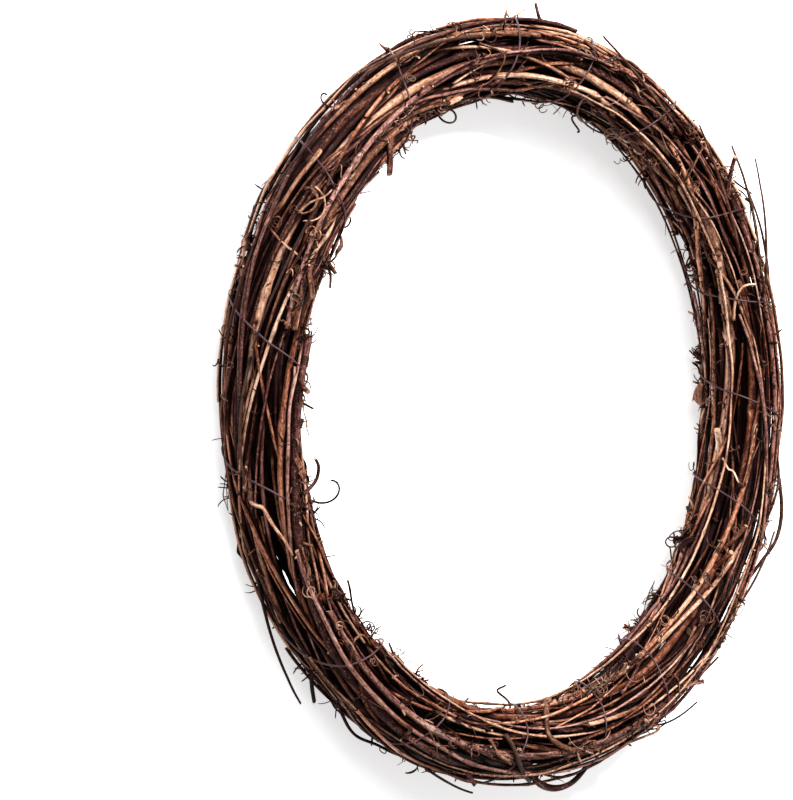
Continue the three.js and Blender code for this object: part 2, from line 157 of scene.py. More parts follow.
def point_at(ring_angle, out, up):
    reach = RING_RADIUS + out
    return np.array([reach * math.cos(ring_angle), reach * math.sin(ring_angle), up])


def point_towards(ring_angle, turn, reach):
    """The point that far out from the middle of the bundle, at a turn about it."""
    return point_at(ring_angle, reach * math.cos(turn), reach * math.sin(turn))


# The canes, read from their solids
Place = namedtuple("Place", "out up radius cane index")


def corners_by_station(mesh):
    """The (out, up) of a cane's corners at each station round the ring that it crosses."""
    corners = np.empty(len(mesh.vertices) * 3)
    mesh.vertices.foreach_get("co", corners)
    corners = np.unique(np.round(corners.reshape(-1, 3) / MM - RING_MIDDLE, 3), axis=0)
    at = ring_angles_of(corners) / STATION_ANGLE
    nearest = np.round(at)
    places = places_of(corners)
    found = {}
    for station in range(STATIONS):
        here = (np.abs(at - nearest) < STATION_TOLERANCE) & (nearest.astype(int) % STATIONS == station)
        if here.sum() > 2:
            found[station] = places[here]
    return found


def agreed_centre(corners, radius, sides):
    """The middle that most corners of a section agree on. A shoot or a worn flat may hide some."""
    turned = 0 if sides % 2 else math.pi / sides
    angles = turned + round_a_turn(sides)
    spokes = radius * np.column_stack([np.sin(angles), np.cos(angles)])
    guesses = (corners[:, None] - spokes).reshape(-1, 2)
    near = np.linalg.norm(guesses[:, None] - guesses, axis=2) < CORNER_TOLERANCE
    return guesses[near[np.argmax(near.sum(axis=1))]].mean(axis=0)


def cane_from(name, mesh):
    """A cane's first station, and its middle and radius at each station that it reaches."""
    kind = name.split("_")[0]
    sides = CANE_KINDS[kind]["solid_sides"]
    found = corners_by_station(mesh)
    first = next(s for s in range(STATIONS) if s in found and (s - 1) % STATIONS not in found)
    count = next(m for m in range(1, STATIONS) if (first + m) % STATIONS not in found)
    sections = [found[(first + m) % STATIONS] for m in range(count)]
    whole = [m for m in range(count) if len(sections[m]) == sides]
    spans = [np.linalg.norm(sections[m] - sections[m].mean(axis=0), axis=1).mean() for m in whole]
    slope, start = np.polyfit(whole, spans, 1)
    radii = start + slope * np.arange(count)
    route = np.array([agreed_centre(sections[m], radii[m], sides) for m in range(count)])
    return SimpleNamespace(
        name=name, kind=kind, first=first, angle=STATION_ANGLE, route=route, radii=radii, shoots=[]
    )


def places_at(canes, ring_angle):
    """Where each cane that crosses this angle round the ring is. The solids run straight from station to
    station, inside the ring's curve there."""
    turns = ring_angle / FULL_TURN
    at = (turns - math.floor(turns)) * STATIONS
    station = math.floor(at)
    share = at - station
    inside = RING_RADIUS * (1 - math.cos(STATION_ANGLE / 2)) * 4 * share * (1 - share)
    places = []
    for i, cane in enumerate(canes):
        m = (station - cane.first) % STATIONS
        if m < len(cane.route) - 1:
            out, up = between(cane.route[m:m + 2], share)
            radius = between(cane.radii[m:m + 2], share)
            places.append(Place(out - inside, up, radius, cane, i))
    return places


def reach_of(place, turn):
    """How far out from the bundle's middle a cane reaches at a turn."""
    return place.out * math.cos(turn) + place.up * math.sin(turn) + place.radius


def skin_reach(places, turn):
    return max([0] + [reach_of(place, turn) for place in places])


def outermost(places, turn):
    return max(places, key=lambda place: reach_of(place, turn))


# The wire of the solids, which their shoots keep clear of
def wire_at(turns):
    """The ring angle and the turn about the bundle of the wire, so many turns along it."""
    k = min(len(WIRE_CROSSINGS) - 2, max(0, math.floor(turns)))
    share = turns - k
    ring = WIRE_CROSSINGS[k:k + 2]
    turn = [360 * (k + i) + 90 + CROSSING_LEAN * math.cos(math.radians(ring[i])) for i in (0, 1)]
    return math.radians(between(ring, share)), math.radians(between(turn, share))


def wire_counts(steps):
    """Counts of steps from half a turn before the first crossing to half a turn after the last."""
    return range(-steps // 2, math.floor((len(WIRE_CROSSINGS) - 0.5) * steps) + 1)


def solid_wire_points(canes):
    points = []
    for i in wire_counts(WIRE_STEPS):
        reach = 0
        for side in (-1, -0.5, 0, 0.5, 1):
            places = places_at(canes, wire_at((i + side) / WIRE_STEPS)[0])
            for half in (-0.5, 0.5):
                reach = max(reach, skin_reach(places, wire_at((i + half) / WIRE_STEPS)[1]))
        reach = (reach + WIRE_DIAMETER / 2 + WIRE_CLEARANCE) / math.cos(math.pi / WIRE_STEPS)
        points.append(point_towards(*wire_at(i / WIRE_STEPS), reach))
    return points


# The side shoots
def turned(vector, axis, angle):
    """The vector turned about an axis of length 1."""
    cos, sin = math.cos(angle), math.sin(angle)
    return vector * cos + np.cross(axis, vector) * sin + axis * (axis @ vector) * (1 - cos)


def shoot_points(shoot, root):
    """The points of a shoot that leaves its cane at root, and bends more and more as it goes."""
    ring_angle = math.radians(shoot["ring"])
    lift, lean, curl = (math.radians(shoot[key]) for key in ("lift", "lean", "curl"))
    roll = math.radians(shoot.get("roll", 0))
    along = np.array([-math.sin(ring_angle), math.cos(ring_angle), 0])
    away = point_towards(ring_angle, math.atan2(root.up, root.out), 1) - point_at(ring_angle, 0, 0)
    lifted = away * math.cos(lean) + np.cross(along, away) * math.sin(lean)
    heading = along * math.cos(lift) + lifted * math.sin(lift)
    axis = np.cross(along, lifted) * math.cos(roll) + lifted * math.sin(roll)
    steps = shoot["steps"]
    points = [point_at(ring_angle, root.out, root.up)]
    for i in range(steps):
        bent = curl * ((i + 0.5) / steps) ** shoot.get("tighten", 1)
        points.append(points[-1] + turned(heading, axis, bent) * shoot["length"] / steps)
    return np.array(points)


def samples_along(points, radius):
    samples = []
    for a, b in zip(points, points[1:]):
        count = math.ceil(np.linalg.norm(b - a) / SAMPLE_STEP)
        samples += [(a + (b - a) * k / count, radius) for k in range(count + 1)]
    return samples


def is_clear(samples, parent, canes, taken):
    """Whether a shoot lies clear of the surface below, of each other cane and of what is there already."""
    taken_points, taken_radii = (np.array(values) for values in zip(*taken))
    for point, radius in samples:
        out = math.hypot(point[0], point[1]) - RING_RADIUS
        up = point[2]
        if up < radius + SHOOT_ABOVE_SURFACE - BUNDLE_HEIGHT or up > STRAY_UP or abs(out) > STRAY_OUT:
            return False
        for place in places_at(canes, math.atan2(point[1], point[0])):
            apart = math.hypot(out - place.out, up - place.up)
            if place.cane is not parent and apart <= place.radius + radius + SHOOT_CLEARANCE:
                return False
        apart = np.linalg.norm(taken_points - point, axis=1)
        if (apart <= taken_radii + radius + SHOOT_CLEARANCE).any():
            return False
    return True


def root_of(shoot, canes):
    """The outermost cane that can carry the shoot, or None where the bundle's skin has none."""
    places = places_at(canes, math.radians(shoot["ring"]))
    turn = math.radians(shoot["turn"])
    able = [
        place for place in places
        if place.radius >= shoot["radius"] * PARENT_SHARE and len(place.cane.shoots) < MOST_SHOOTS
    ]
    if not able:
        return None
    root = outermost(able, turn)
    return root if skin_reach(places, turn) - skin_reach([root], turn) <= ROOT_DEPTH else None


def grow_if_clear(shoot, canes, taken):
    root = root_of(shoot, canes)
    if root is None:
        return False
    points = shoot_points(shoot, root)
    samples = samples_along(points, shoot["radius"])
    if not is_clear(samples, root.cane, canes, taken):
        return False
    root.cane.shoots.append(dict(shoot, points=points))
    taken += samples
    return True


def grow_shoots(canes, wire):
    """Grows the shoots that the solids have, each on the cane that is outermost where it starts."""
    taken = samples_along(wire, WIRE_DIAMETER / 2)
    for shoot in SHOWY_SHOOTS:
        for nudge in NUDGES:
            if grow_if_clear(dict(shoot, ring=shoot["ring"] + nudge), canes, taken):
                break
    seed = SHOOT_SEED
    for kind in SHOOT_KINDS:
        grown = 0
        while grown < kind["count"]:
            draw = draws_from(seed)
            seed += 1
            shoot = dict(kind, ring=360 * draw(), turn=between(SHOOT_TURNS, draw()))
            for key in SPREAD_KEYS:
                shoot[key] = between(kind[key], draw())
            grown += grow_if_clear(shoot, canes, taken)


# How open a place in the bundle is, which sets the painted shade between the strands: seen from these turns
# about its normal, each with its weight, and blocked by what lies in this span of distances
SEEN_FROM = [(-75, 0.35), (-50, 0.65), (-25, 0.9), (0, 1), (25, 0.9), (50, 0.65), (75, 0.35)]
SEEN_SPAN = (0.05, 14)
SEEN_SHARE = 0.95
CROWD_STATIONS = 512
CROWD_BATCH = 6000
FAR_OFF = 1e3
# Painted shade: the bark is darkened towards one side of the ring, through its openness and its age
SIDE_SHADE = 0.12
SIDE_SHADE_WAY = np.array([-0.95, -0.3])
# Each strand takes its grain from a place of its own in the noise, and no corner lies lower than this
GRAIN_SHIFT = 997
LEAST_HEIGHT = 0.05

# How a vine looks: a slightly oval section that turns along it, ridges and lumps in the bark, and a
# swelling at each leaf node with a dark ring beside it. A pair is the length of a wave and its size, which
# is in radians where it turns something.
OVAL = 0.05
OVAL_TURNING = (60, 1.2)
RIDGE_LENGTH = 9
LUMP_LENGTH = 14
LUMP_SHARE = 0.5
KNOTS_FROM_ENDS = (5, 4)
KINK_PAST_ENDS = 40
KNOT_SWELLING = (0.15, 0.42)
KNOT_LENGTH = 2
DARK_RING = (0, 0.9)
DARK_RING_AT = 1.5
DARK_RING_LENGTH = 1.3

# How a shoot looks: finer steps below one radius, a stout form with a cut tip above another, a waver that
# starts a little way along, and a collar at its root
COARSE_RADIUS = 0.6
COARSE_STEP = 1.3
FINE_STEP = 0.8
LEAST_RINGS = 8
STOUT_RADIUS = 0.55
STOUT_SIDES = 8
SLIM_SIDES = 6
SLIM_TIP = 0.5
WAVER_LENGTH = 7
WAVER_SHARE = 0.12
WAVER_START = 4
COLLAR = 0.45
COLLAR_LENGTH = 2.2
SHOOT_RIDGE = 0.07
SHOOT_SLANT = 0.6
# The solids' shoots by radius, and how dark with age they are
SHOOT_AGES = [(0.5, 0.85, 1), (0.9, 0.75, 0)]

# Fine strands among the canes, some of which stray a little out of the bundle
STRAND = dict(
    sides=6, ridge=0.06, knots=(18, 40), kink=0.5, wander=(12, 0.15), step=2.6, slant=0.6, share=1
)
STRANDS = 80
STRAND_RADIUS = (0.45, 0.95)
STRAND_TIP = 0.75
STRAND_SPAN = (12, 50)
STRAND_SLOPE = (-2.8, 2.8)
STRAND_DEPTHS = (0.5, 1.08)
STRAND_ROUNDS = 110
SMOOTHED_ROUNDS = 95
SMOOTHING = 0.25
STRAND_CLEARANCE = 0.05
STRAND_ABOVE_SURFACE = 0.4
STRAND_SLACK = 0.6
STRAY_SHARE = 0.22
STRAY_SLACK = (1.5, 4.5)
FINE_STATIONS = 64
FINE_ANGLE = FULL_TURN / FINE_STATIONS
STRAND_PIECES = 4

# The wire as it looks: thinner than the solid's, sunk a little into the canes and tucked in at its ends
WIRE_FINENESS = 36
WIRE_SHARE = 0.76
WIRE_SINKING = 0.35
WIRE_SMOOTHING = 5
WIRE_TUCK = 0.8
WIRE_SIDES = 8
WIRE_WAVER = (8, 0.35)
HULL_TURNS = 72
LEAST_FACING = 0.3

# Small growth all over the wreath, most of it in tufts
TWIG_KINDS = dict(zip(["snags", "hooks", "curls", "threads"], rows_of(
    SHOOT_KEYS + ["tuft", "age"],
    (900, 2, 1, 0.7, (0.25, 0.65), (2, 7), (20, 80), (-60, 60), (-70, 70), (0, 0), 0.55, (0.05, 1)),
    (600, 6, 1.2, 0.7, (0.22, 0.4), (3, 9), (25, 85), (-60, 60), (-200, 240), (0, 40), 0.65, (0.1, 1)),
    (320, 20, 1.1, 0.6, (0.22, 0.42), (9, 28), (5, 60), (-80, 80), (450, 1300), (20, 60), 0.4, (0, 1)),
    (300, 6, 1, 0.5, (0.13, 0.22), (5, 20), (3, 40), (-60, 60), (-120, 120), (-50, 50), 0.3, (0.1, 1)),
)))
TUFT_WIDTH = 1.6
TUFT_TURN = 9
TWIG_TURNS = (-65, 245)
TWIG_REACH = 5
TWIG_ABOVE_SURFACE = 0.8
TWIG_PARENT_SHARE = 1.1
# Places (angle round the ring, turn) with a thick tuft of hooks
TUFTS = [
    (41.5, 56), (37.5, 58), (34, 60), (18.5, 56), (24, -148), (10.5, -158), (354.5, -152), (320, -150),
    (313.5, -152), (305, -160), (298, -178), (290, 166), (286.5, 162), (169, 132), (156.5, 116),
    (192.5, 132), (213, 112), (156, -38), (151, -34), (172, -36), (194.5, -36), (229.5, 10), (247, 14),
    (115.5, 8), (105, 4), (77.5, 60), (340, 54), (321.5, 52),
]
TUFT_KIND = dict(TWIG_KINDS["hooks"], length=(3, 10), age=(0.5, 1))
TUFT_HOOKS = 9
THICK_TUFT_SHARE = 0.7

# Shreds of bark and scraps of leaf: strips that peel from the canes, hollow across and twisted. The waver
# has its length, its least size and what each millimetre of width adds, and the taper is how full the
# strip is at its start, how much of a half wave it goes on for and how blunt that wave is.
FLAKE = dict(steps=9, tighten=1.4, lift=(4, 40), lean=(-40, 40), roll=(-40, 40), age=(0, 0.8))
SHREDS = dict(FLAKE, count=170, width=(0.5, 1.4), length=(5, 22), curl=(-160, 160))
SCRAPS = dict(FLAKE, count=14, width=(1.8, 4), length=(6, 13), curl=(-300, 300))
FLAKE_ROOT = 0.9
RIBBON_RINGS = 26
RIBBON_SIDES = 8
RIBBON_WAVER = (3, 0.25, 0.1)
RIBBON_TAPER = (0.12, 0.8, 0.6)
RIBBON_EDGE = (2.4, 0.3)
RIBBON_SWELLING = (3, 0.3)
RIBBON_TWIST = (10, 1.4)
RIBBON_THICKNESS = 0.18
RIBBON_HOLLOW = 0.3

# Twigs that stand out: the radius, the share of it at the tip, the darkness of age, and the way over the
# canes, as knots (angle round the ring, turn about the bundle, height over the canes)
NOTABLE_TWIGS = [
    (0.5, 0.8, 0, [(349, 162, 0), (347, 152, 0.6), (346.5, 143, 1), (344.5, 134, 1.6)]),
    (0.85, 0.6, 0, [
        (194, -4, -0.5), (195, 18, 0.9), (195.5, 30, 1.2), (198, 40, 0.9), (200.5, 50, 0.7),
        (203, 55, 0.2),
    ]),
    (0.55, 0.8, 0, [(154, 6, 0.4), (156, 36, 0.8), (157.5, 62, 0.5)]),
    (0.8, 0.8, 0.55, [
        (194.5, 88, 0), (194, 116, 1.5), (193, 128, 5), (191, 126, 5.5), (189.5, 118, 3.5),
    ]),
    (1.15, 0.9, 0.2, [
        (278, 176, 0.6), (272.5, 134, 1.4), (270.5, 106, 1.3), (272.5, 92, 1), (276, 82, 0.3),
    ]),
    (0.7, 0.7, 0, [(16, 140, 0), (20, 130, 1.8), (22, 116, 2.6), (21.5, 98, 1)]),
    (0.45, 0.8, 0, [(31, 138, 0), (28.5, 126, 1.2), (24, 128, 0.3)]),
    (0.5, 0.7, 0, [(49, 84, 1.6), (47.5, 118, 0.9), (45, 144, 0.2)]),
    (0.7, 0.7, 0.8, [(156, 100, 0.3), (157, 128, 1.5), (159.5, 132, 3.4)]),
    (0.75, 0.7, 0, [(95.5, 14, 0), (91.5, 9, 1.6), (89, 6, 4.8)]),
    (0.5, 0.6, 0.3, [(104, 60, 0), (101, 84, 1.6), (103, 112, 1.2), (106, 124, 0)]),
    (0.6, 0.7, 0, [(223, 60, 0), (220, 78, 1.5), (221, 96, 1.2), (224, 104, 0)]),
    (0.5, 0.7, 0.1, [(306, 60, 0), (303, 74, 1.4), (304, 96, 1.4), (301, 118, 0.4)]),
    (0.9, 0.8, 0, [(262, 70, 0), (258, 78, 1.2), (255.5, 92, 1.6)]),
    (0.62, 0.6, 0.1, [
        (146.8, 38, 0.3), (147, 50, 1.6), (148.2, 60, 2), (150, 61, 1.8), (151.2, 52, 1.4),
        (150.6, 41, 0.6),
    ]),
    (0.55, 0.6, 0, [
        (146.4, 52, 0.3), (147.6, 66, 1.8), (149.8, 73, 1.8), (151.6, 67, 1.4), (152.2, 55, 0.6),
    ]),
    (0.5, 0.7, 0.2, [(151, 46, 0.3), (149.4, 54, 2.2), (147.6, 66, 2), (145.6, 72, 0.4)]),
    (0.95, 0.9, 0.2, [
        (132, -26, -1), (139, -34, 1.4), (148, -40, 2.6), (159, -42, 2.7), (170, -40, 1.6),
        (180, -34, -1),
    ]),
    (0.8, 0.8, 0.4, [
        (136, -52, -1), (144, -48, 1.6), (153, -50, 3.6), (163, -50, 3.4), (172, -48, 1.8),
        (178, -44, -1),
    ]),
    (0.8, 0.8, 0.1, [(184, -30, -1), (194, -38, 1.6), (205, -36, 2.4), (217, -28, 1.6), (226, -20, -1)]),
    (0.75, 0.7, 0.5, [(228, 4, -1), (237, 4, 1.8), (246, 10, 2.6), (256, 20, 1.4), (263, 26, -1)]),
    (0.8, 0.8, 0.3, [
        (32, 60, -1), (22, 54, 1.6), (10, 50, 2.5), (0, 50, 2.3), (352, 48, 1.2), (345, 44, -1),
    ]),
    (0.7, 0.8, 0.1, [(72, 10, -1), (62, 20, 1.5), (53, 26, 2.4), (44, 30, 1.4), (38, 36, -1)]),
    (0.85, 0.9, 0.35, [
        (354, 50, -0.8), (349.5, 50, 1.2), (345.5, 50, 4.4), (341.5, 51, 6.2), (337.5, 51, 5.8),
        (334, 50, 3.4), (330, 47, 0.6),
    ]),
    (1, 0.9, 0.85, [
        (260.5, 104, -0.6), (261, 92, 1), (263, 74, 1.3), (266, 54, 1.5), (269, 36, 1.2), (271, 22, 0),
    ]),
    (0.6, 0.8, 0.25, [
        (287, 20, -0.6), (292, 28, 2.2), (296.5, 31, 5), (298.4, 34, 5.6), (298.4, 40, 3.2),
        (296, 46, 0.4),
    ]),
    (0.42, 0.8, 0.95, [(297, 44, 0.4), (300, 37, 4.8), (303.5, 37, 6.6), (307, 39, 8)]),
    (0.35, 0.7, 1, [
        (296, 40, 1), (298, 38, 4), (299.5, 41, 4.4), (299.6, 46, 3), (298, 47, 1.6), (297, 43, 2),
    ]),
    (0.45, 0.9, 0.9, [(41, 60, -0.4), (39.5, 56, 2), (37, 48, 5), (34.8, 45, 8)]),
    (0.4, 0.8, 0.7, [(43.5, 80, 0), (42.3, 64, 2.4), (40.8, 50, 5), (39.9, 48, 5.6)]),
    (0.25, 0.7, 1, [
        (40.6, 50, 3.4), (39.7, 44, 6), (38.9, 44, 6), (38.9, 50, 4), (39.8, 54, 3.6), (40.4, 48, 5.4),
    ]),
    (0.4, 0.7, 0.9, [(38.5, 60, 0.4), (36, 52, 4), (33.5, 50, 4.8), (31, 56, 2)]),
    (0.3, 0.6, 0.9, [(35, 54, 3.6), (33.2, 48, 5.6), (31.8, 46, 6)]),
    (0.16, 0.7, 0.5, [(37, 66, 1), (35, 54, 4), (33, 47, 6.4)]),
    (0.65, 0.7, 0.9, [
        (228, -2, -0.5), (232, -12, 3), (236.5, -16, 4.6), (241, -14, 3), (246, -10, 1.4), (256, 0, 0.4),
    ]),
    (0.28, 0.7, 1, [
        (242, -10, 0.6), (243.4, -16, 3.6), (242.6, -19, 4), (241.9, -15, 3), (242.8, -13, 2),
        (244, -18, 2.6),
    ]),
    (0.28, 0.7, 1, [
        (250, -4, 0.4), (251.6, -12, 2.8), (253, -14, 3), (254.4, -10, 1.4), (252.8, -8, 1.8),
        (251.4, -15, 4),
    ]),
    (0.3, 0.7, 1, [
        (333.4, -170, 1.5), (332.4, -160, 4.6), (331, -154, 5.6), (330.4, -160, 4.6), (331.6, -166, 2.6),
    ]),
]
# Scraps of leaf and bark that stand out: the width, the darkness of age and the way over the canes
NOTABLE_SCRAPS = [
    (5.5, 0.15, [(154.5, -40, 1.8), (156.5, -28, 2.8), (159, -16, 1.6), (161.5, -10, 0.5)]),
    (3.2, 0.3, [(158, -44, 0.6), (160.5, -40, 2.6), (162, -30, 1)]),
    (4, 0.45, [(3.5, -150, 0.4), (1.5, -144, 2.2), (-0.5, -150, 0.4)]),
    (4.6, 0.97, [(335, -178, 0), (332.8, -168, 2.4), (331.2, -158, 3.4), (330, -166, 2)]),
    (3.4, 0.95, [(332.6, -172, 0.2), (331, -164, 3.2), (332.4, -156, 4.6)]),
    (2.6, 1, [(332, 178, 0.6), (329.5, -172, 2.8), (327.5, -178, 0.8)]),
    (1.8, 1, [(336, -176, 0.4), (336.8, -168, 2.6), (338.4, -162, 3.4)]),
    (2.2, 0.2, [(163, 66, 0.4), (164.5, 78, 2), (166, 72, 0.5)]),
    (2, 0, [(240, 46, 0.4), (238.5, 60, 2), (236.5, 58, 0.6)]),
]
# Dark coils that stand out: the place (angle round the ring, turn), the width and how often it winds
NOTABLE_COILS = [
    (152.5, 16, 4.6, 3), (150, 34, 3, 2), (359, 124, 3, 2), (326, 122, 4, 2), (251, 76, 3.4, 2),
    (288, 144, 4.6, 2), (163.5, 70, 3.4, 2), (176, 30, 2.6, 2), (24, 108, 2.8, 2), (120, 60, 3.6, 2),
    (133, 84, 3, 2), (96, 104, 3.2, 2), (335, 120, 3.6, 2), (316.5, 108, 6, 3), (312, 96, 3, 2),
    (225, 84, 2.6, 2), (44, 120, 3.4, 2), (68, 108, 3, 2), (204, 66, 2.6, 2),
]
COIL = dict(radius=0.2, tip_share=0.7)
COIL_AGES = (0.3, 1)
COIL_STEPS = 9
COIL_REACH = (0.2, 0.55)
COIL_RISE = 1.8
COIL_DRIFT = 0.55
COIL_SIDEWAYS = 0.3
# Tendrils wound tightly round a cane: the place and how often they wind
WOUND_TENDRILS = [
    (322.5, 92, 4), (318, 60, 5), (150, -36, 4), (171, 60, 3), (208, 70, 4), (262, 104, 4), (78, 70, 4),
]
WOUND = dict(radius=0.2, tip_share=0.8)
WOUND_AGE = 0.9
MORE_WOUND = 26
MORE_WOUND_AGES = (0.7, 1)
WINDS = (2, 6)
WOUND_PITCH = 0.75
WOUND_SINKING = 0.8

# Each cane has a seed of its own from the first on, and so has each kind of growth
DRESSING_SEED = 4200
STRAND_SEED = DRESSING_SEED + 100
TWIG_SEED = DRESSING_SEED + 200
FLAKE_SEED = DRESSING_SEED + 300
TUFT_SEED = DRESSING_SEED + 400


# Lines and their smoothing
def curve_at(knots, at):
    """Places on the smooth curve through evenly numbered knots, at counts along it."""
    last = len(knots) - 1
    i = np.clip(np.floor(at).astype(int), 0, last - 1)
    t = (at - i)[:, None]
    before, here = knots[np.maximum(i - 1, 0)], knots[i]
    there, after = knots[i + 1], knots[np.minimum(i + 2, last)]
    bend = 2 * before - 5 * here + 4 * there - after
    twist = 3 * (here - there) + after - before
    return here + 0.5 * t * (there - before + t * (bend + t * twist))


def lengths_along(points):
    steps = np.linalg.norm(np.diff(points, axis=0), axis=1)
    return np.concatenate([[0], np.cumsum(steps)])


def frames_along(points):
    """A line's way ahead at each point, and two ways across, which turn about it as little as they can."""
    ahead = np.gradient(points, axis=0)
    ahead /= np.linalg.norm(ahead, axis=1)[:, None]
    over = np.empty_like(points)
    start = np.array([0.0, 0, 1]) if abs(ahead[0][2]) < 0.9 else np.array([1.0, 0, 0])
    for i, forward in enumerate(ahead):
        start = start - forward * (start @ forward)
        start = start / math.sqrt(start @ start)
        over[i] = start
    return ahead, np.cross(ahead, over), over


def uneven(draw, marks, spacing, amount, width=1):
    """Smooth random values from -amount to amount at the marks along a line."""
    knots = draw.uniform(-amount, amount, (int(marks[-1] / spacing) + 4, width))
    return curve_at(knots, marks / spacing)


def bell(distances, width):
    return np.exp(-((distances / width) ** 2))


# How open each place is, for the painted shade in the bark's colour
def crowd_of(canes, strands):
    """The (out, up, radius) of all canes and strands at many angles round the ring."""
    crowd = np.zeros((CROWD_STATIONS, len(canes) + len(strands), 3), dtype=np.float32)
    crowd[..., 0] = FAR_OFF
    for s in range(CROWD_STATIONS):
        for place in places_at(canes, FULL_TURN * s / CROWD_STATIONS):
            crowd[s, place.index] = place.out, place.up, place.radius * CANE_SHARE
    finer = CROWD_STATIONS // FINE_STATIONS
    for i, strand in enumerate(strands, len(canes)):
        at = np.arange((len(strand.route) - 1) * finer + 1) / finer
        stations = (strand.first * finer + np.arange(len(at))) % CROWD_STATIONS
        crowd[stations, i, :2] = curve_at(strand.route, at)
        crowd[stations, i, 2] = strand.radius
    return crowd


def shade_openness_of(corners, normals, crowd):
    """The share of the ways about each corner's normal, across the bundle, that nothing blocks; it sets the
    painted shade.
    """
    ring_angles = ring_angles_of(corners)
    radial = np.column_stack([np.cos(ring_angles), np.sin(ring_angles)])
    facing = np.arctan2(normals[:, 2], (normals[:, :2] * radial).sum(axis=1))
    stations = np.round(ring_angles / FULL_TURN * CROWD_STATIONS).astype(int) % CROWD_STATIONS
    places = places_of(corners).astype(np.float32)
    openness = np.zeros(len(corners))
    for start in range(0, len(corners), CROWD_BATCH):
        part = slice(start, start + CROWD_BATCH)
        around = crowd[stations[part]]
        apart = around[..., :2] - places[part, None]
        radii = around[..., 2] * SEEN_SHARE
        for turn, weight in SEEN_FROM:
            way = (facing[part] + math.radians(turn)).astype(np.float32)[:, None]
            cos, sin = np.cos(way), np.sin(way)
            ahead = apart[..., 0] * cos + apart[..., 1] * sin
            aside = np.abs(apart[..., 0] * sin - apart[..., 1] * cos)
            blocking = (ahead > SEEN_SPAN[0]) & (ahead < SEEN_SPAN[1]) & (aside < radii)
            openness[part] += weight * ~blocking.any(axis=1)
    return openness / sum(weight for _, weight in SEEN_FROM)


# Pieces in the making
def put_in_scene(name, data):
    made = bpy.data.objects.new(name, data)
    bpy.context.collection.objects.link(made)
    return made


class Form:
    """A mesh in the making. For the materials, each corner has its grain, (along, across, over) in its
    strand, and its bark, (tint, openness, age), whose openness sets the painted shade."""

    def __init__(self):
        self.corners, self.normals, self.grain, self.bark = [], [], [], []
        self.faces, self.kinds = [], []
        self.count = 0

    def sweep(self, points, spokes, tint, age=0.0, cuts=(0, 0), slant=(0, 0)):
        """A closed rod along the points. The spokes are each ring's corners, (across, over) from its point.
        A cut end is flat and shows the wood's grain; slant leans it."""
        ahead, across, over = frames_along(points)
        rings, sides, _ = spokes.shape
        marks = lengths_along(points)
        shape = points[:, None] + across[:, None] * spokes[..., :1] + over[:, None] * spokes[..., 1:]
        for end, lean in zip((0, -1), slant):
            shape[end] += ahead[end] * (spokes[end][:, :1] * lean)
        first = self.count + rings * sides
        corner = self.count + np.arange(rings * sides).reshape(rings, sides)
        beside = np.roll(corner, -1, axis=1)
        walls = np.stack([corner[:-1], beside[:-1], beside[1:], corner[1:]], axis=-1).reshape(-1, 4)
        self.faces += walls.tolist()
        self.faces += [[first, b, a] for a, b in zip(corner[0].tolist(), beside[0].tolist())]
        self.faces += [[first + 1, a, b] for a, b in zip(corner[-1].tolist(), beside[-1].tolist())]
        self.kinds += [0] * len(walls) + [cuts[0]] * sides + [cuts[1]] * sides
        corners = np.concatenate([shape.reshape(-1, 3), points[[0, -1]]])
        normals = np.concatenate([(shape - points[:, None]).reshape(-1, 3), -ahead[:1], ahead[-1:]])
        grain = np.empty((rings, sides, 3))
        grain[..., 0] = marks[:, None]
        grain[..., 1:] = spokes
        grain = np.concatenate([grain.reshape(-1, 3), [[marks[0], 0, 0], [marks[-1], 0, 0]]])
        grain[:, 0] += tint * GRAIN_SHIFT
        ages = np.broadcast_to(age, rings)
        bark = np.empty((len(corners), 3))
        bark[:, 0] = tint
        bark[:, 2] = np.concatenate([np.repeat(ages, sides), ages[[0, -1]]])
        self.corners.append(corners)
        self.normals.append(normals)
        self.grain.append(grain)
        self.bark.append(bark)
        self.count += len(corners)

    def piece(self, name, slot, node=None, materials=None):
        """Makes the piece, which rides on the wreath's one body, and stands for a node if one is named."""
        mesh = bpy.data.meshes.new(name)
        corners, grain, bark = (np.concatenate(part) for part in (self.corners, self.grain, self.bark))
        # Painted shade on one side of the ring: it lowers the openness and adds to the age there
        side_shade = SIDE_SHADE * np.maximum(0, corners[:, :2] @ SIDE_SHADE_WAY / RING_RADIUS)
        bark[:, 1] = shade_openness_of(corners, np.concatenate(self.normals), crowd) - side_shade
        bark[:, 2] += side_shade
        corners = corners + RING_MIDDLE
        corners[:, 2] = np.maximum(corners[:, 2], LEAST_HEIGHT)
        mesh.from_pydata((corners * MM).tolist(), [], self.faces)
        for label, values in (("grain", grain), ("bark", bark)):
            layer = mesh.attributes.new(label, "FLOAT_VECTOR", "POINT")
            layer.data.foreach_set("vector", values.astype(np.float32).ravel())
        mesh.polygons.foreach_set("material_index", self.kinds)
        mesh.polygons.foreach_set("use_smooth", [kind == 0 for kind in self.kinds])
        for material in materials or [barks[slot], wood]:
            mesh.materials.append(material)
        mesh.update()
        made = put_in_scene(name, mesh)
        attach(made, "root")
        if node:
            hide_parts(node)


def round_spokes(draw, marks, radii, sides, ridge, oval=OVAL):
    """A vine's sections: round, a little oval, with ridges along the bark and uneven lumps."""
    angles = round_a_turn(sides)
    lean = draw.uniform(0, math.pi) + uneven(draw, marks, *OVAL_TURNING)
    ridges = uneven(draw, marks, RIDGE_LENGTH, ridge, sides)
    swell = 1 + ridges + uneven(draw, marks, LUMP_LENGTH, LUMP_SHARE * ridge)
    reach = radii[:, None] * (swell * (1 + oval * np.cos(2 * (angles - lean))))
    return np.stack([reach * np.sin(angles), reach * np.cos(angles)], axis=-1)


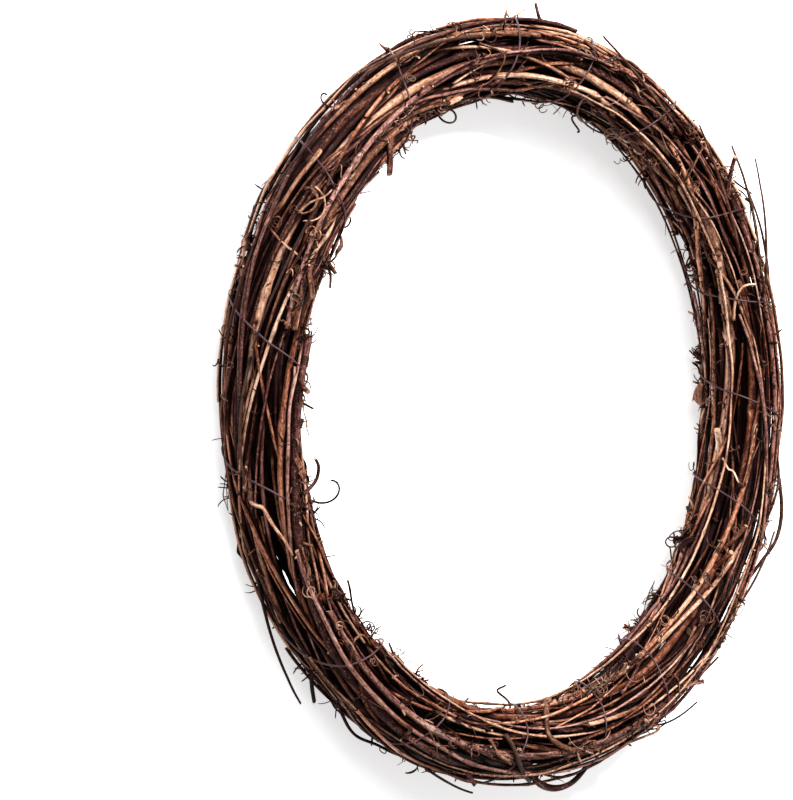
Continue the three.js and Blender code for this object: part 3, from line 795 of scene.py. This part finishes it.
def knots_along(draw, length, spacing):
    """Where a vine's leaf nodes are, unevenly spaced along it."""
    at = draw.uniform(KNOTS_FROM_ENDS[0], spacing[1])
    found = []
    while at < length - KNOTS_FROM_ENDS[1]:
        found.append(at)
        at += draw.uniform(*spacing)
    return np.array(found)


def kinked(draw, marks, knots, amount):
    """The small sideways zigzag of a vine, straight from leaf node to leaf node."""
    at = np.concatenate([[-KINK_PAST_ENDS], knots, [marks[-1] + KINK_PAST_ENDS]])
    sides = draw.normal(0, amount, (len(at), 2))
    return np.column_stack([np.interp(marks, at, side) for side in sides.T])


def knotted(draw, marks, knots, radii):
    """The radii with a swelling at each leaf node, and how dark with age the bark is beside it."""
    rings = np.zeros(len(marks))
    for knot in knots:
        radii = radii * (1 + draw.uniform(*KNOT_SWELLING) * bell(marks - knot, KNOT_LENGTH))
        ring = draw.uniform(*DARK_RING) * bell(marks - knot - DARK_RING_AT, DARK_RING_LENGTH)
        rings = np.maximum(rings, ring)
    return radii, rings


def add_vine(form, draw, vine, kind, tint=None):
    """A knobbly, kinked vine with cut ends. Gives its line, its radii and its tint."""
    last = len(vine.route) - 1
    spacing = RING_RADIUS * vine.angle
    at = np.linspace(0, last, round(last * spacing / kind["step"]))
    marks = at * spacing
    knots = knots_along(draw, marks[-1], kind["knots"])
    places = curve_at(vine.route, at) + kinked(draw, marks, knots, kind["kink"])
    places += uneven(draw, marks, *kind["wander"], 2)
    ring_angles = (vine.first + at) * vine.angle
    reach = RING_RADIUS + places[:, 0]
    points = np.column_stack([reach * np.cos(ring_angles), reach * np.sin(ring_angles), places[:, 1]])
    radii = np.interp(at, np.arange(last + 1), vine.radii) * kind["share"]
    radii, rings = knotted(draw, marks, knots, radii)
    spokes = round_spokes(draw, marks, radii, kind["sides"], kind["ridge"])
    if tint is None:
        tint = draw.uniform()
    slant = draw.uniform(-kind["slant"], kind["slant"], 2)
    form.sweep(points, spokes, tint, rings, cuts=(1, 1), slant=slant)
    return points, radii, tint


def add_shoot(form, draw, points, shoot, tint, age=0.0):
    """A side shoot, smooth through its points, with a collar where it leaves its cane."""
    radius = shoot["radius"]
    step = COARSE_STEP if radius > COARSE_RADIUS else FINE_STEP
    count = max(LEAST_RINGS, round(lengths_along(points)[-1] / step))
    points = curve_at(points, np.linspace(0, len(points) - 1, count))
    marks = lengths_along(points)
    waver = uneven(draw, marks, WAVER_LENGTH, WAVER_SHARE * radius, 3)
    points = points + waver * np.minimum(1, marks / WAVER_START)[:, None]
    radii = radius * between([1, shoot["tip_share"]], marks / marks[-1])
    radii *= 1 + COLLAR * bell(marks, COLLAR_LENGTH * radius)
    is_stout = radius > STOUT_RADIUS
    if not is_stout:
        radii[-1] *= SLIM_TIP
    spokes = round_spokes(draw, marks, radii, STOUT_SIDES if is_stout else SLIM_SIDES, SHOOT_RIDGE)
    slant = draw.uniform(-SHOOT_SLANT, SHOOT_SLANT)
    form.sweep(points, spokes, tint, age, (0, int(is_stout)), (0, slant))


def dressed_cane(cane, draw):
    """The cane as it looks, with its shoots. Its line and radii are kept for what is wound round it."""
    form = Form()
    cane.line, cane.girth, tint = add_vine(form, draw, cane, CANE_KINDS[cane.kind])
    for shoot in cane.shoots:
        add_shoot(form, draw, shoot["points"], shoot, tint, np.interp(shoot["radius"], *SHOOT_AGES))
    return form


# Fine strands
def push_on(apart, sizes):
    """How far places are pushed by what lies so far apart from them, with these radii together."""
    distance = np.linalg.norm(apart, axis=-1)
    distance[distance == 0] = np.inf
    overlap = np.nan_to_num(sizes + STRAND_CLEARANCE - distance).clip(0)
    return np.nansum(apart / distance[..., None] * overlap[..., None], axis=-2) * 0.5


def settled_strands(canes, draw):
    """Fine strands that are let in among the canes, and then pushed clear of them and of each other."""
    cane_places = np.full((len(canes), FINE_STATIONS, 3), np.nan)
    for s in range(FINE_STATIONS):
        for place in places_at(canes, s * FINE_ANGLE):
            cane_places[place.index, s] = place[:3]
    radii = draw.uniform(*STRAND_RADIUS, STRANDS)
    spans = draw.integers(*STRAND_SPAN, STRANDS)
    firsts = draw.integers(0, FINE_STATIONS, STRANDS)
    turns = draw.uniform(0, FULL_TURN, STRANDS)
    slopes = draw.uniform(*STRAND_SLOPE, STRANDS)
    reach = np.sqrt(draw.uniform(*STRAND_DEPTHS, STRANDS))
    is_stray = draw.uniform(size=STRANDS) < STRAY_SHARE
    slack = np.where(is_stray, draw.uniform(*STRAY_SLACK, STRANDS), STRAND_SLACK)
    steps = np.arange(FINE_STATIONS)
    spiral = turns[:, None] + slopes[:, None] * steps * FINE_ANGLE
    places = reach[:, None, None] * np.stack([np.cos(spiral), np.sin(spiral)], axis=-1) * BUNDLE_HALVES
    around = cane_places[:, (firsts[:, None] + steps) % FINE_STATIONS].transpose(1, 2, 0, 3)
    limits = BUNDLE_HALVES + (slack - radii)[:, None]
    groups = []
    for s in range(FINE_STATIONS):
        counts = (s - firsts) % FINE_STATIONS
        here = np.flatnonzero(counts < spans)
        groups.append((here, counts[here]))
    for sweep in range(STRAND_ROUNDS):
        push = push_on(places[:, :, None] - around[..., :2], around[..., 2] + radii[:, None, None])
        for group in groups:
            here, sizes = places[group], radii[group[0]]
            push[group] += push_on(here[:, None] - here, sizes[:, None] + sizes)
        places += push
        if sweep < SMOOTHED_ROUNDS:
            places[:, 1:-1] += SMOOTHING * ((places[:, :-2] + places[:, 2:]) / 2 - places[:, 1:-1])
        places /= np.maximum(1, np.linalg.norm(places / limits[:, None], axis=-1))[..., None]
        places[..., 1] = np.maximum(places[..., 1], radii[:, None] + STRAND_ABOVE_SURFACE - BUNDLE_HEIGHT)
    return [
        SimpleNamespace(
            first=firsts[k], angle=FINE_ANGLE, route=places[k, :spans[k]], radius=radii[k],
            radii=radii[k] * np.linspace(1, STRAND_TIP, spans[k]), stray=is_stray[k],
        )
        for k in range(STRANDS)
    ]


# The binding wire
def hull_reach(places, turn):
    """How far out from the bundle's middle a tight loop of wire lies at a turn."""
    turns = round_a_turn(HULL_TURNS)
    ways = np.column_stack([np.cos(turns), np.sin(turns)])
    support = (places[:, :2] @ ways.T + places[:, 2:]).max(axis=0)
    facing = np.cos(turns[:, None] - turns)
    reach = np.where(facing > LEAST_FACING, support / np.maximum(facing, LEAST_FACING), np.inf)
    return np.interp(turn % FULL_TURN, turns, reach.min(axis=1), period=FULL_TURN)


def bound_wire(canes, strands):
    """The wire as it looks, drawn tight over the canes and the fine strands."""
    spots = [wire_at(i / WIRE_FINENESS) for i in wire_counts(WIRE_FINENESS)]
    reaches = []
    for ring_angle, turn in spots:
        places = [place[:3] for place in places_at(canes, ring_angle)]
        for strand in strands:
            at = (ring_angle - strand.first * FINE_ANGLE) % FULL_TURN / FULL_TURN * FINE_STATIONS
            m = int(at)
            if m < len(strand.route) - 1 and not strand.stray:
                places.append((*between(strand.route[m:m + 2], at - m), strand.radius))
        reaches.append(hull_reach(np.array(places), turn))
    reaches = np.array(reaches) + WIRE_SINKING * WIRE_SHARE * WIRE_DIAMETER
    reaches = np.pad(reaches, WIRE_SMOOTHING // 2, mode="edge")
    reaches = np.convolve(reaches, np.ones(WIRE_SMOOTHING) / WIRE_SMOOTHING, mode="valid")
    counts = np.arange(len(reaches))
    tuck = np.minimum(1, np.minimum(counts, counts[::-1]) / WIRE_SMOOTHING)
    reaches *= between((WIRE_TUCK, 1), tuck)
    return np.array([point_towards(*spot, reach) for spot, reach in zip(spots, reaches)])


# Small growth and loose bark
def anywhere(draw):
    return draw.uniform(0, 360), draw.uniform(*TWIG_TURNS)


def skin_place(canes, ring, turn):
    """The outermost cane at a place."""
    return outermost(places_at(canes, math.radians(ring)), math.radians(turn))


def drawn(draw, kind, keys):
    """The kind, with a value drawn from its span for each key."""
    return dict(kind, **{key: draw.uniform(*kind[key]) for key in keys})


def within_reach(points):
    places = places_of(points)
    share = np.linalg.norm(places / (BUNDLE_HALVES + TWIG_REACH), axis=1)
    return share.max() < 1 and places[:, 1].min() > TWIG_ABOVE_SURFACE - BUNDLE_HEIGHT


def grow_twig(form, draw, kind, canes, ring, turn):
    """A twig of a kind on the outermost cane at a place, if it has room there. Counts what it grew."""
    root = skin_place(canes, ring, turn)
    twig = drawn(draw, kind, SPREAD_KEYS + ["age"])
    if draw.uniform() < 0.5:
        twig["lift"] = 180 - twig["lift"]
    points = shoot_points(dict(twig, ring=ring), root)
    if root.radius < TWIG_PARENT_SHARE * twig["radius"] or not within_reach(points):
        return 0
    add_shoot(form, draw, points, twig, draw.uniform(), twig["age"])
    return 1


def grow_twigs(form, draw, kind, canes):
    """Small growth of a kind at random places round the wreath, with more of it beside some of it."""
    grown = 0
    ring, turn = 0, 0
    while grown < kind["count"]:
        if draw.uniform() < kind["tuft"]:
            ring += draw.uniform(-TUFT_WIDTH, TUFT_WIDTH)
            turn += draw.uniform(-TUFT_TURN, TUFT_TURN)
        else:
            ring, turn = anywhere(draw)
        grown += grow_twig(form, draw, kind, canes, ring, turn)


def grow_tufts(form, draw, kind, canes):
    """The thick tufts of hooks at their places."""
    for ring, turn in TUFTS:
        grown = 0
        while grown < TUFT_HOOKS:
            beside = draw.uniform(-1, 1, 2) * (THICK_TUFT_SHARE * TUFT_WIDTH, TUFT_TURN)
            grown += grow_twig(form, draw, kind, canes, ring + beside[0], turn + beside[1])


def way_over(canes, knots):
    """The points of a way over the canes, through knots (angle round the ring, turn, height over them)."""
    points = []
    for ring, turn, height in knots:
        ring_angle, turn = math.radians(ring), math.radians(turn)
        reach = skin_reach(places_at(canes, ring_angle), turn) + height
        points.append(point_towards(ring_angle, turn, reach))
    return np.array(points)


def coil_knots(ring, turn, width, winds):
    """A coil that widens, drifts along and rises from a place on the skin."""
    steps = np.arange(winds * COIL_STEPS + 1)
    share = steps / steps[-1]
    angle = FULL_TURN * steps / COIL_STEPS
    reach = between(COIL_REACH, share) * width
    along = reach * np.cos(angle) + COIL_DRIFT * width * share
    about = reach * np.sin(angle) + COIL_SIDEWAYS * COIL_DRIFT * width * share
    rings, turns = ring + np.degrees(along / RING_RADIUS), turn + np.degrees(about / BUNDLE_HALVES[0])
    return np.column_stack([rings, turns, COIL_RISE * share])


def wound_points(canes, ring, turn, winds):
    """A tendril wound round the outermost cane at a place."""
    cane = skin_place(canes, ring, turn).cane
    line = cane.line
    _, across, over = frames_along(line)
    away = np.abs(np.angle(np.exp(1j * (ring_angles_of(line) - math.radians(ring)))))
    steps = np.arange(winds * COIL_STEPS + 1)
    marks = np.arange(len(line))
    at = np.clip(away.argmin() + steps * WOUND_PITCH / COIL_STEPS / RING_STEP, 0, marks[-1])
    middle, across, over = (
        np.column_stack([np.interp(at, marks, values) for values in way.T]) for way in (line, across, over)
    )
    reach = np.interp(at, marks, cane.girth) + WOUND_SINKING * WOUND["radius"]
    about = (FULL_TURN * steps / COIL_STEPS)[:, None]
    return middle + reach[:, None] * (across * np.cos(about) + over * np.sin(about))


def add_ribbon(form, draw, points, width, age):
    """A strip with uneven edges along the points, hollow across and twisted."""
    points = curve_at(points, np.linspace(0, len(points) - 1, RIBBON_RINGS))
    marks = lengths_along(points)
    length, least, more = RIBBON_WAVER
    points = points + uneven(draw, marks, length, least + more * width, 3)
    start, rest, fullness = RIBBON_TAPER
    width = width * np.sin(math.pi * (start + rest * marks / marks[-1])) ** fullness
    width = width * (1 + uneven(draw, marks, *RIBBON_EDGE, RIBBON_SIDES).mean(axis=1))
    width = width[:, None] * (1 + uneven(draw, marks, *RIBBON_SWELLING))
    angles = round_a_turn(RIBBON_SIDES)
    twist = uneven(draw, marks, *RIBBON_TWIST)
    across = 0.5 * width * np.sin(angles)
    over = 0.5 * RIBBON_THICKNESS * np.cos(angles) + RIBBON_HOLLOW * width * np.sin(angles) ** 2
    spokes = np.stack([
        across * np.cos(twist) - over * np.sin(twist),
        across * np.sin(twist) + over * np.cos(twist),
    ], axis=-1)
    form.sweep(points, spokes, draw.uniform(), age)


def grow_flakes(form, draw, canes, kind):
    """Strips that peel from the outermost canes and curl away."""
    grown = 0
    while grown < kind["count"]:
        ring, turn = anywhere(draw)
        root = skin_place(canes, ring, turn)
        flake = drawn(draw, dict(kind, ring=ring), ["lift", "lean", "curl", "roll", "length"])
        turn = math.atan2(root.up, root.out)
        edge = FLAKE_ROOT * root.radius
        root = root._replace(out=root.out + edge * math.cos(turn), up=root.up + edge * math.sin(turn))
        points = shoot_points(flake, root)
        if within_reach(points):
            add_ribbon(form, draw, points, draw.uniform(*kind["width"]), draw.uniform(*kind["age"]))
            grown += 1


# Materials
class Nodes:
    """A material's nodes, made one by one and joined by name."""

    def __init__(self, name):
        self.material = bpy.data.materials.new(name)
        self.material.use_nodes = True
        self.tree = self.material.node_tree

    def put(self, socket, value):
        if isinstance(value, bpy.types.NodeSocket):
            self.tree.links.new(value, socket)
        else:
            socket.default_value = value

    def add(self, kind, inputs=(), **settings):
        node = self.tree.nodes.new(kind)
        for key, value in settings.items():
            setattr(node, key, value)
        for key, value in dict(inputs).items():
            self.put(node.inputs[key], value)
        return node

    def layer(self, name):
        return self.add("ShaderNodeAttribute", attribute_name=name).outputs["Vector"]

    def noise(self, vector, scale, detail, rough=0.55):
        """Noise with so many waves a millimetre (along, across, over) as the scale says."""
        mapped = self.add("ShaderNodeMapping", {"Vector": vector, "Scale": scale}).outputs[0]
        inputs = {"Vector": mapped, "Scale": 1.0, "Detail": detail, "Roughness": rough}
        return self.add("ShaderNodeTexNoise", inputs).outputs["Fac"]

    def ramp(self, value, *stops):
        made = self.add("ShaderNodeValToRGB", {"Fac": value})
        while len(made.color_ramp.elements) < len(stops):
            made.color_ramp.elements.new(0.5)
        for element, (at, colour) in zip(made.color_ramp.elements, stops):
            element.position = at
            element.color = (*colour, 1)
        return made.outputs["Color"]

    def span(self, value, low, high, to_low=0.0, to_high=1.0):
        limits = {"From Min": low, "From Max": high, "To Min": to_low, "To Max": to_high}
        return self.add("ShaderNodeMapRange", {"Value": value, **limits}).outputs["Result"]

    def spread(self, noise, low, high):
        """Noise, which is mostly from 0.3 to 0.7, spread from low to high."""
        return self.span(noise, 0.3, 0.7, low, high)

    def math(self, operation, a, b):
        return self.add("ShaderNodeMath", {0: a, 1: b}, operation=operation).outputs[0]

    def mix(self, share, a, b, blend="MIX"):
        made = self.add("ShaderNodeMix", data_type="RGBA", blend_type=blend)
        for socket, value in (("Factor_Float", share), ("A_Color", a), ("B_Color", b)):
            self.put(next(s for s in made.inputs if s.identifier == socket), value)
        return next(s for s in made.outputs if s.identifier == "Result_Color")

    def finished(self, **inputs):
        """The material, once its surface has these inputs, named with underscores for spaces."""
        surface = next(node for node in self.tree.nodes if node.type == "BSDF_PRINCIPLED")
        for key, value in inputs.items():
            self.put(surface.inputs[key.replace("_", " ")], value)
        return self.material


# The barks' colours from dark to pale, at these shades of the mixed noise
SHADES = [0.28, 0.47, 0.65, 0.84]
BARKS = {
    "bark_warm": [(0.02, 0.0045, 0.002), (0.185, 0.077, 0.04), (0.53, 0.31, 0.2), (0.8, 0.61, 0.48)],
    "bark_purple": [(0.014, 0.003, 0.0026), (0.105, 0.036, 0.03), (0.35, 0.178, 0.142), (0.66, 0.48, 0.4)],
    "bark_red": [(0.02, 0.0042, 0.0018), (0.21, 0.07, 0.033), (0.58, 0.285, 0.175), (0.82, 0.57, 0.44)],
}
SLOTS = list(BARKS)
# The bark's fibres, bands, mottles and patches: noise with its scale, its detail and its roughness
BARK_NOISES = [
    ((0.16, 1.9, 1.9), 5, 0.62), ((0.03, 0.4, 0.4), 3), ((0.5, 1.0, 1.0), 3, 0.6), ((0.014, 0.1, 0.1), 2),
]
FIBRE_SHARE = 0.42
BAND_SHARE = 0.58
MOTTLE_SHADE = 0.12
PATCH_SHADE = 0.1
TINT_SHADES = (-0.17, 0.2)
# Specks, pits and cracks: their noise, where in it they start and are full, their strength and colour
SPECK = (0.5, 0.36, 0.29, 1)
CRACK = (0.012, 0.003, 0.0015, 1)
MARKS = [
    ([(1.2, 1.6, 1.6), 3, 0.65], (0.58, 0.68), 0.55, SPECK),
    ([(1.0, 1.5, 1.5), 3, 0.65], (0.44, 0.33), 0.75, CRACK),
    ([(0.08, 1.5, 1.5), 4, 0.7], (0.41, 0.34), 0.7, CRACK),
]
# Bark that is dark with age, and the two steps of painted shade that darken what lies deep in the bundle
OLD = (0.014, 0.0052, 0.004, 1)
PAINTED_SHADE_TINT = (1, 0.6, 0.45, 1)
PAINTED_SHADE_COLOUR = (0.008, 0.0007, 0.0003, 1)
PAINTED_SHADE_SPAN = (0.4, 1.0)
BARK_ROUGHNESS = (0.72, 0.42)
BARK_SPECULAR = 0.07
BARK_RELIEF = 0.7
MOTTLE_RELIEF = 0.6


def bark(name, colours):
    """Dried vine bark: streaks along the strand in four shades, mottles, marks, and painted shade deep
    inside.
    """
    nodes = Nodes(name)
    grain = nodes.layer("grain")
    tint, openness, age = nodes.add("ShaderNodeSeparateXYZ", {0: nodes.layer("bark")}).outputs
    fibres, bands, mottles, patches = [nodes.noise(grain, *noise) for noise in BARK_NOISES]
    shade = nodes.math("MULTIPLY", fibres, FIBRE_SHARE)
    for part in (
        nodes.math("MULTIPLY", bands, BAND_SHARE),
        nodes.spread(mottles, -MOTTLE_SHADE, MOTTLE_SHADE),
        nodes.spread(patches, -PATCH_SHADE, PATCH_SHADE),
        nodes.span(tint, 0, 1, *TINT_SHADES),
    ):
        shade = nodes.math("ADD", shade, part)
    colour = nodes.ramp(shade, *zip(SHADES, colours))
    for noise, span, strength, tone in MARKS:
        share = nodes.math("MULTIPLY", nodes.span(nodes.noise(grain, *noise), *span), strength)
        colour = nodes.mix(share, colour, tone)
    colour = nodes.mix(age, colour, OLD)
    # Painted shade: where other strands hide a corner, its colour is made redder and then near black
    painted_shade = nodes.span(openness, *PAINTED_SHADE_SPAN, 1, 0)
    colour = nodes.mix(painted_shade, colour, PAINTED_SHADE_TINT, "MULTIPLY")
    colour = nodes.mix(painted_shade, colour, PAINTED_SHADE_COLOUR)
    relief = nodes.math("ADD", fibres, nodes.math("MULTIPLY", mottles, MOTTLE_RELIEF))
    bump = nodes.add("ShaderNodeBump", {"Height": relief, "Strength": 1.0, "Distance": BARK_RELIEF * MM})
    return nodes.finished(
        Base_Color=colour, Roughness=nodes.spread(fibres, *BARK_ROUGHNESS),
        Specular_IOR_Level=BARK_SPECULAR, Normal=bump.outputs[0],
    )


def plain_finish(name, noise, stops, roughness, specular):
    """A finish with one noise in its colour and its gloss."""
    nodes = Nodes(name)
    wear = nodes.noise(nodes.layer("grain"), *noise)
    rough = nodes.spread(wear, *roughness)
    return nodes.finished(Base_Color=nodes.ramp(wear, *stops), Roughness=rough, Specular_IOR_Level=specular)


barks = {name: bark(name + "_finish", colours) for name, colours in BARKS.items()}
# The pale wood of a cut end with its rays, and brown-purple lacquered wire, a little worn
WOOD_STOPS = [(0.3, (0.09, 0.04, 0.022)), (0.5, (0.26, 0.14, 0.08)), (0.7, (0.46, 0.29, 0.19))]
LACQUER_STOPS = [(0.35, (0.014, 0.0035, 0.005)), (0.7, (0.06, 0.017, 0.021))]
RAYS = [(0.0, 3.5, 3.5), 4]
WEAR = [(0.3, 1.2, 1.2), 3]
wood = plain_finish("cut_wood", RAYS, WOOD_STOPS, roughness=(0.9, 0.7), specular=0.5)
lacquer = plain_finish("wire_finish", WEAR, LACQUER_STOPS, roughness=(0.42, 0.6), specular=0.3)

# The canes and their solids' shoots
slots = {part["node"]: part["material_slot"] for part in frame["record"]["subparts"]}
canes = [cane_from(name, frame["nodes"][name].data) for name in frame["nodes"] if "cane" in name]
grow_shoots(canes, solid_wire_points(canes))
draw = np.random.default_rng(STRAND_SEED)
strands = settled_strands(canes, draw)
crowd = crowd_of(canes, strands)
for i, cane in enumerate(canes):
    form = dressed_cane(cane, np.random.default_rng(DRESSING_SEED + i))
    form.piece("dressed_" + cane.name, slots[cane.name], cane.name)

# Fine strands among them
for i in range(STRAND_PIECES):
    form = Form()
    for strand in strands[i::STRAND_PIECES]:
        add_vine(form, draw, strand, STRAND, draw.uniform())
    form.piece(f"fine_strands_{i + 1}", SLOTS[i % len(SLOTS)])

# Small growth and loose bark
for i, (name, kind) in enumerate(TWIG_KINDS.items()):
    form = Form()
    grow_twigs(form, np.random.default_rng(TWIG_SEED + i), kind, canes)
    form.piece("fine_" + name, SLOTS[i % len(SLOTS)])
draw = np.random.default_rng(FLAKE_SEED)
form = Form()
grow_flakes(form, draw, canes, SHREDS)
form.piece("bark_shreds", "bark_warm", materials=[barks["bark_warm"]])
form = Form()
grow_flakes(form, draw, canes, SCRAPS)
for width, age, knots in NOTABLE_SCRAPS:
    add_ribbon(form, draw, way_over(canes, knots), width, age)
form.piece("leaf_scraps", "bark_red", materials=[barks["bark_red"]])

# Twigs and coils that stand out
form = Form()
grow_tufts(form, np.random.default_rng(TUFT_SEED), TUFT_KIND, canes)
for radius, tip_share, age, knots in NOTABLE_TWIGS:
    twig = dict(radius=radius, tip_share=tip_share)
    add_shoot(form, draw, way_over(canes, knots), twig, draw.uniform(), age)
for ring, turn, width, winds in NOTABLE_COILS:
    points = way_over(canes, coil_knots(ring, turn, width, winds))
    add_shoot(form, draw, points, COIL, draw.uniform(), draw.uniform(*COIL_AGES))
for ring, turn, winds in WOUND_TENDRILS:
    add_shoot(form, draw, wound_points(canes, ring, turn, winds), WOUND, draw.uniform(), WOUND_AGE)
for _ in range(MORE_WOUND):
    points = wound_points(canes, *anywhere(draw), draw.integers(*WINDS))
    add_shoot(form, draw, points, WOUND, draw.uniform(), draw.uniform(*MORE_WOUND_AGES))
form.piece("notable_twigs", "bark_warm")

# The binding wire
form = Form()
points = bound_wire(canes, strands)
points += uneven(draw, lengths_along(points), *WIRE_WAVER, 3)
radii = np.full(len(points), WIRE_SHARE * WIRE_DIAMETER / 2)
spokes = round_spokes(draw, lengths_along(points), radii, WIRE_SIDES, ridge=0, oval=0)
form.sweep(points, spokes, tint=0)
form.piece("bound_wire", "wire", "binding_wire", [lacquer])


# The floor, the light and the camera
def look_at(item, place, aim, above):
    """Puts a camera or a light at a place, facing the aim, with this direction upwards in its view."""
    back = (place - aim).normalized()
    right = above.cross(back).normalized()
    upward = back.cross(right)
    rows = [[right[i], upward[i], back[i], place[i]] for i in range(3)]
    item.matrix_world = Matrix(rows + [[0, 0, 0, 1]])


CAMERA_TILT = 46
CAMERA_DISTANCE = 1700
IMAGE_HEIGHT = 800
PIXELS_PER_MM = 2.556
MIDDLE_IN_IMAGE = (119.5, -2.5)
SENSOR = 36
middle = Vector(RING_MIDDLE * MM)
tilt = math.radians(CAMERA_TILT)
toward_camera = Vector((-math.sin(tilt), 0, math.cos(tilt)))
image_right = Vector((math.cos(tilt), 0, math.sin(tilt)))
image_up = Vector((0, 1, 0))
camera = put_in_scene("camera", bpy.data.cameras.new("camera"))
camera.data.sensor_fit = "VERTICAL"
camera.data.sensor_height = SENSOR
camera.data.sensor_width = SENSOR
camera.data.lens = SENSOR * CAMERA_DISTANCE * PIXELS_PER_MM / IMAGE_HEIGHT
aim = middle - (image_right * MIDDLE_IN_IMAGE[0] + image_up * MIDDLE_IN_IMAGE[1]) * (MM / PIXELS_PER_MM)
look_at(camera, middle + toward_camera * CAMERA_DISTANCE * MM, aim, image_up)
bpy.context.scene.camera = camera

# The floor and the lights, in metres
FLOOR_HALF = 8.0
FLOOR_COLOUR = (0.8, 0.8, 0.8, 1)
FLOOR_GLOW = 0.6
WHITE = (1, 1, 1, 1)
LIGHTS = [
    ("key", (0.08, 0.8, 1.02), 0.32, 51),
    ("front", (-1.3, 1.1, 1.5), 0.9, 32),
]
LIGHT_ABOVE = Vector((0, 0.1, 1))
WORLD_LIGHT = 0.45
floor_mesh = bpy.data.meshes.new("floor")
corners = [(x * FLOOR_HALF, y * FLOOR_HALF, 0) for x, y in ((-1, -1), (1, -1), (1, 1), (-1, 1))]
floor_mesh.from_pydata(corners, [], [[0, 1, 2, 3]])
floor_mesh.materials.append(Nodes("floor_finish").finished(
    Base_Color=FLOOR_COLOUR, Roughness=0.9, Emission_Color=WHITE, Emission_Strength=FLOOR_GLOW,
))
floor = put_in_scene("floor", floor_mesh)
for name, place, size, power in LIGHTS:
    light = put_in_scene(name, bpy.data.lights.new(name, "AREA"))
    light.data.size = size
    light.data.energy = power
    look_at(light, Vector(place), middle, LIGHT_ABOVE)
world = bpy.data.worlds.new("soft_light")
world.use_nodes = True
world.node_tree.nodes["Background"].inputs["Color"].default_value = WHITE
world.node_tree.nodes["Background"].inputs["Strength"].default_value = WORLD_LIGHT
bpy.context.scene.world = world
bpy.context.scene.view_settings.view_transform = "Standard"
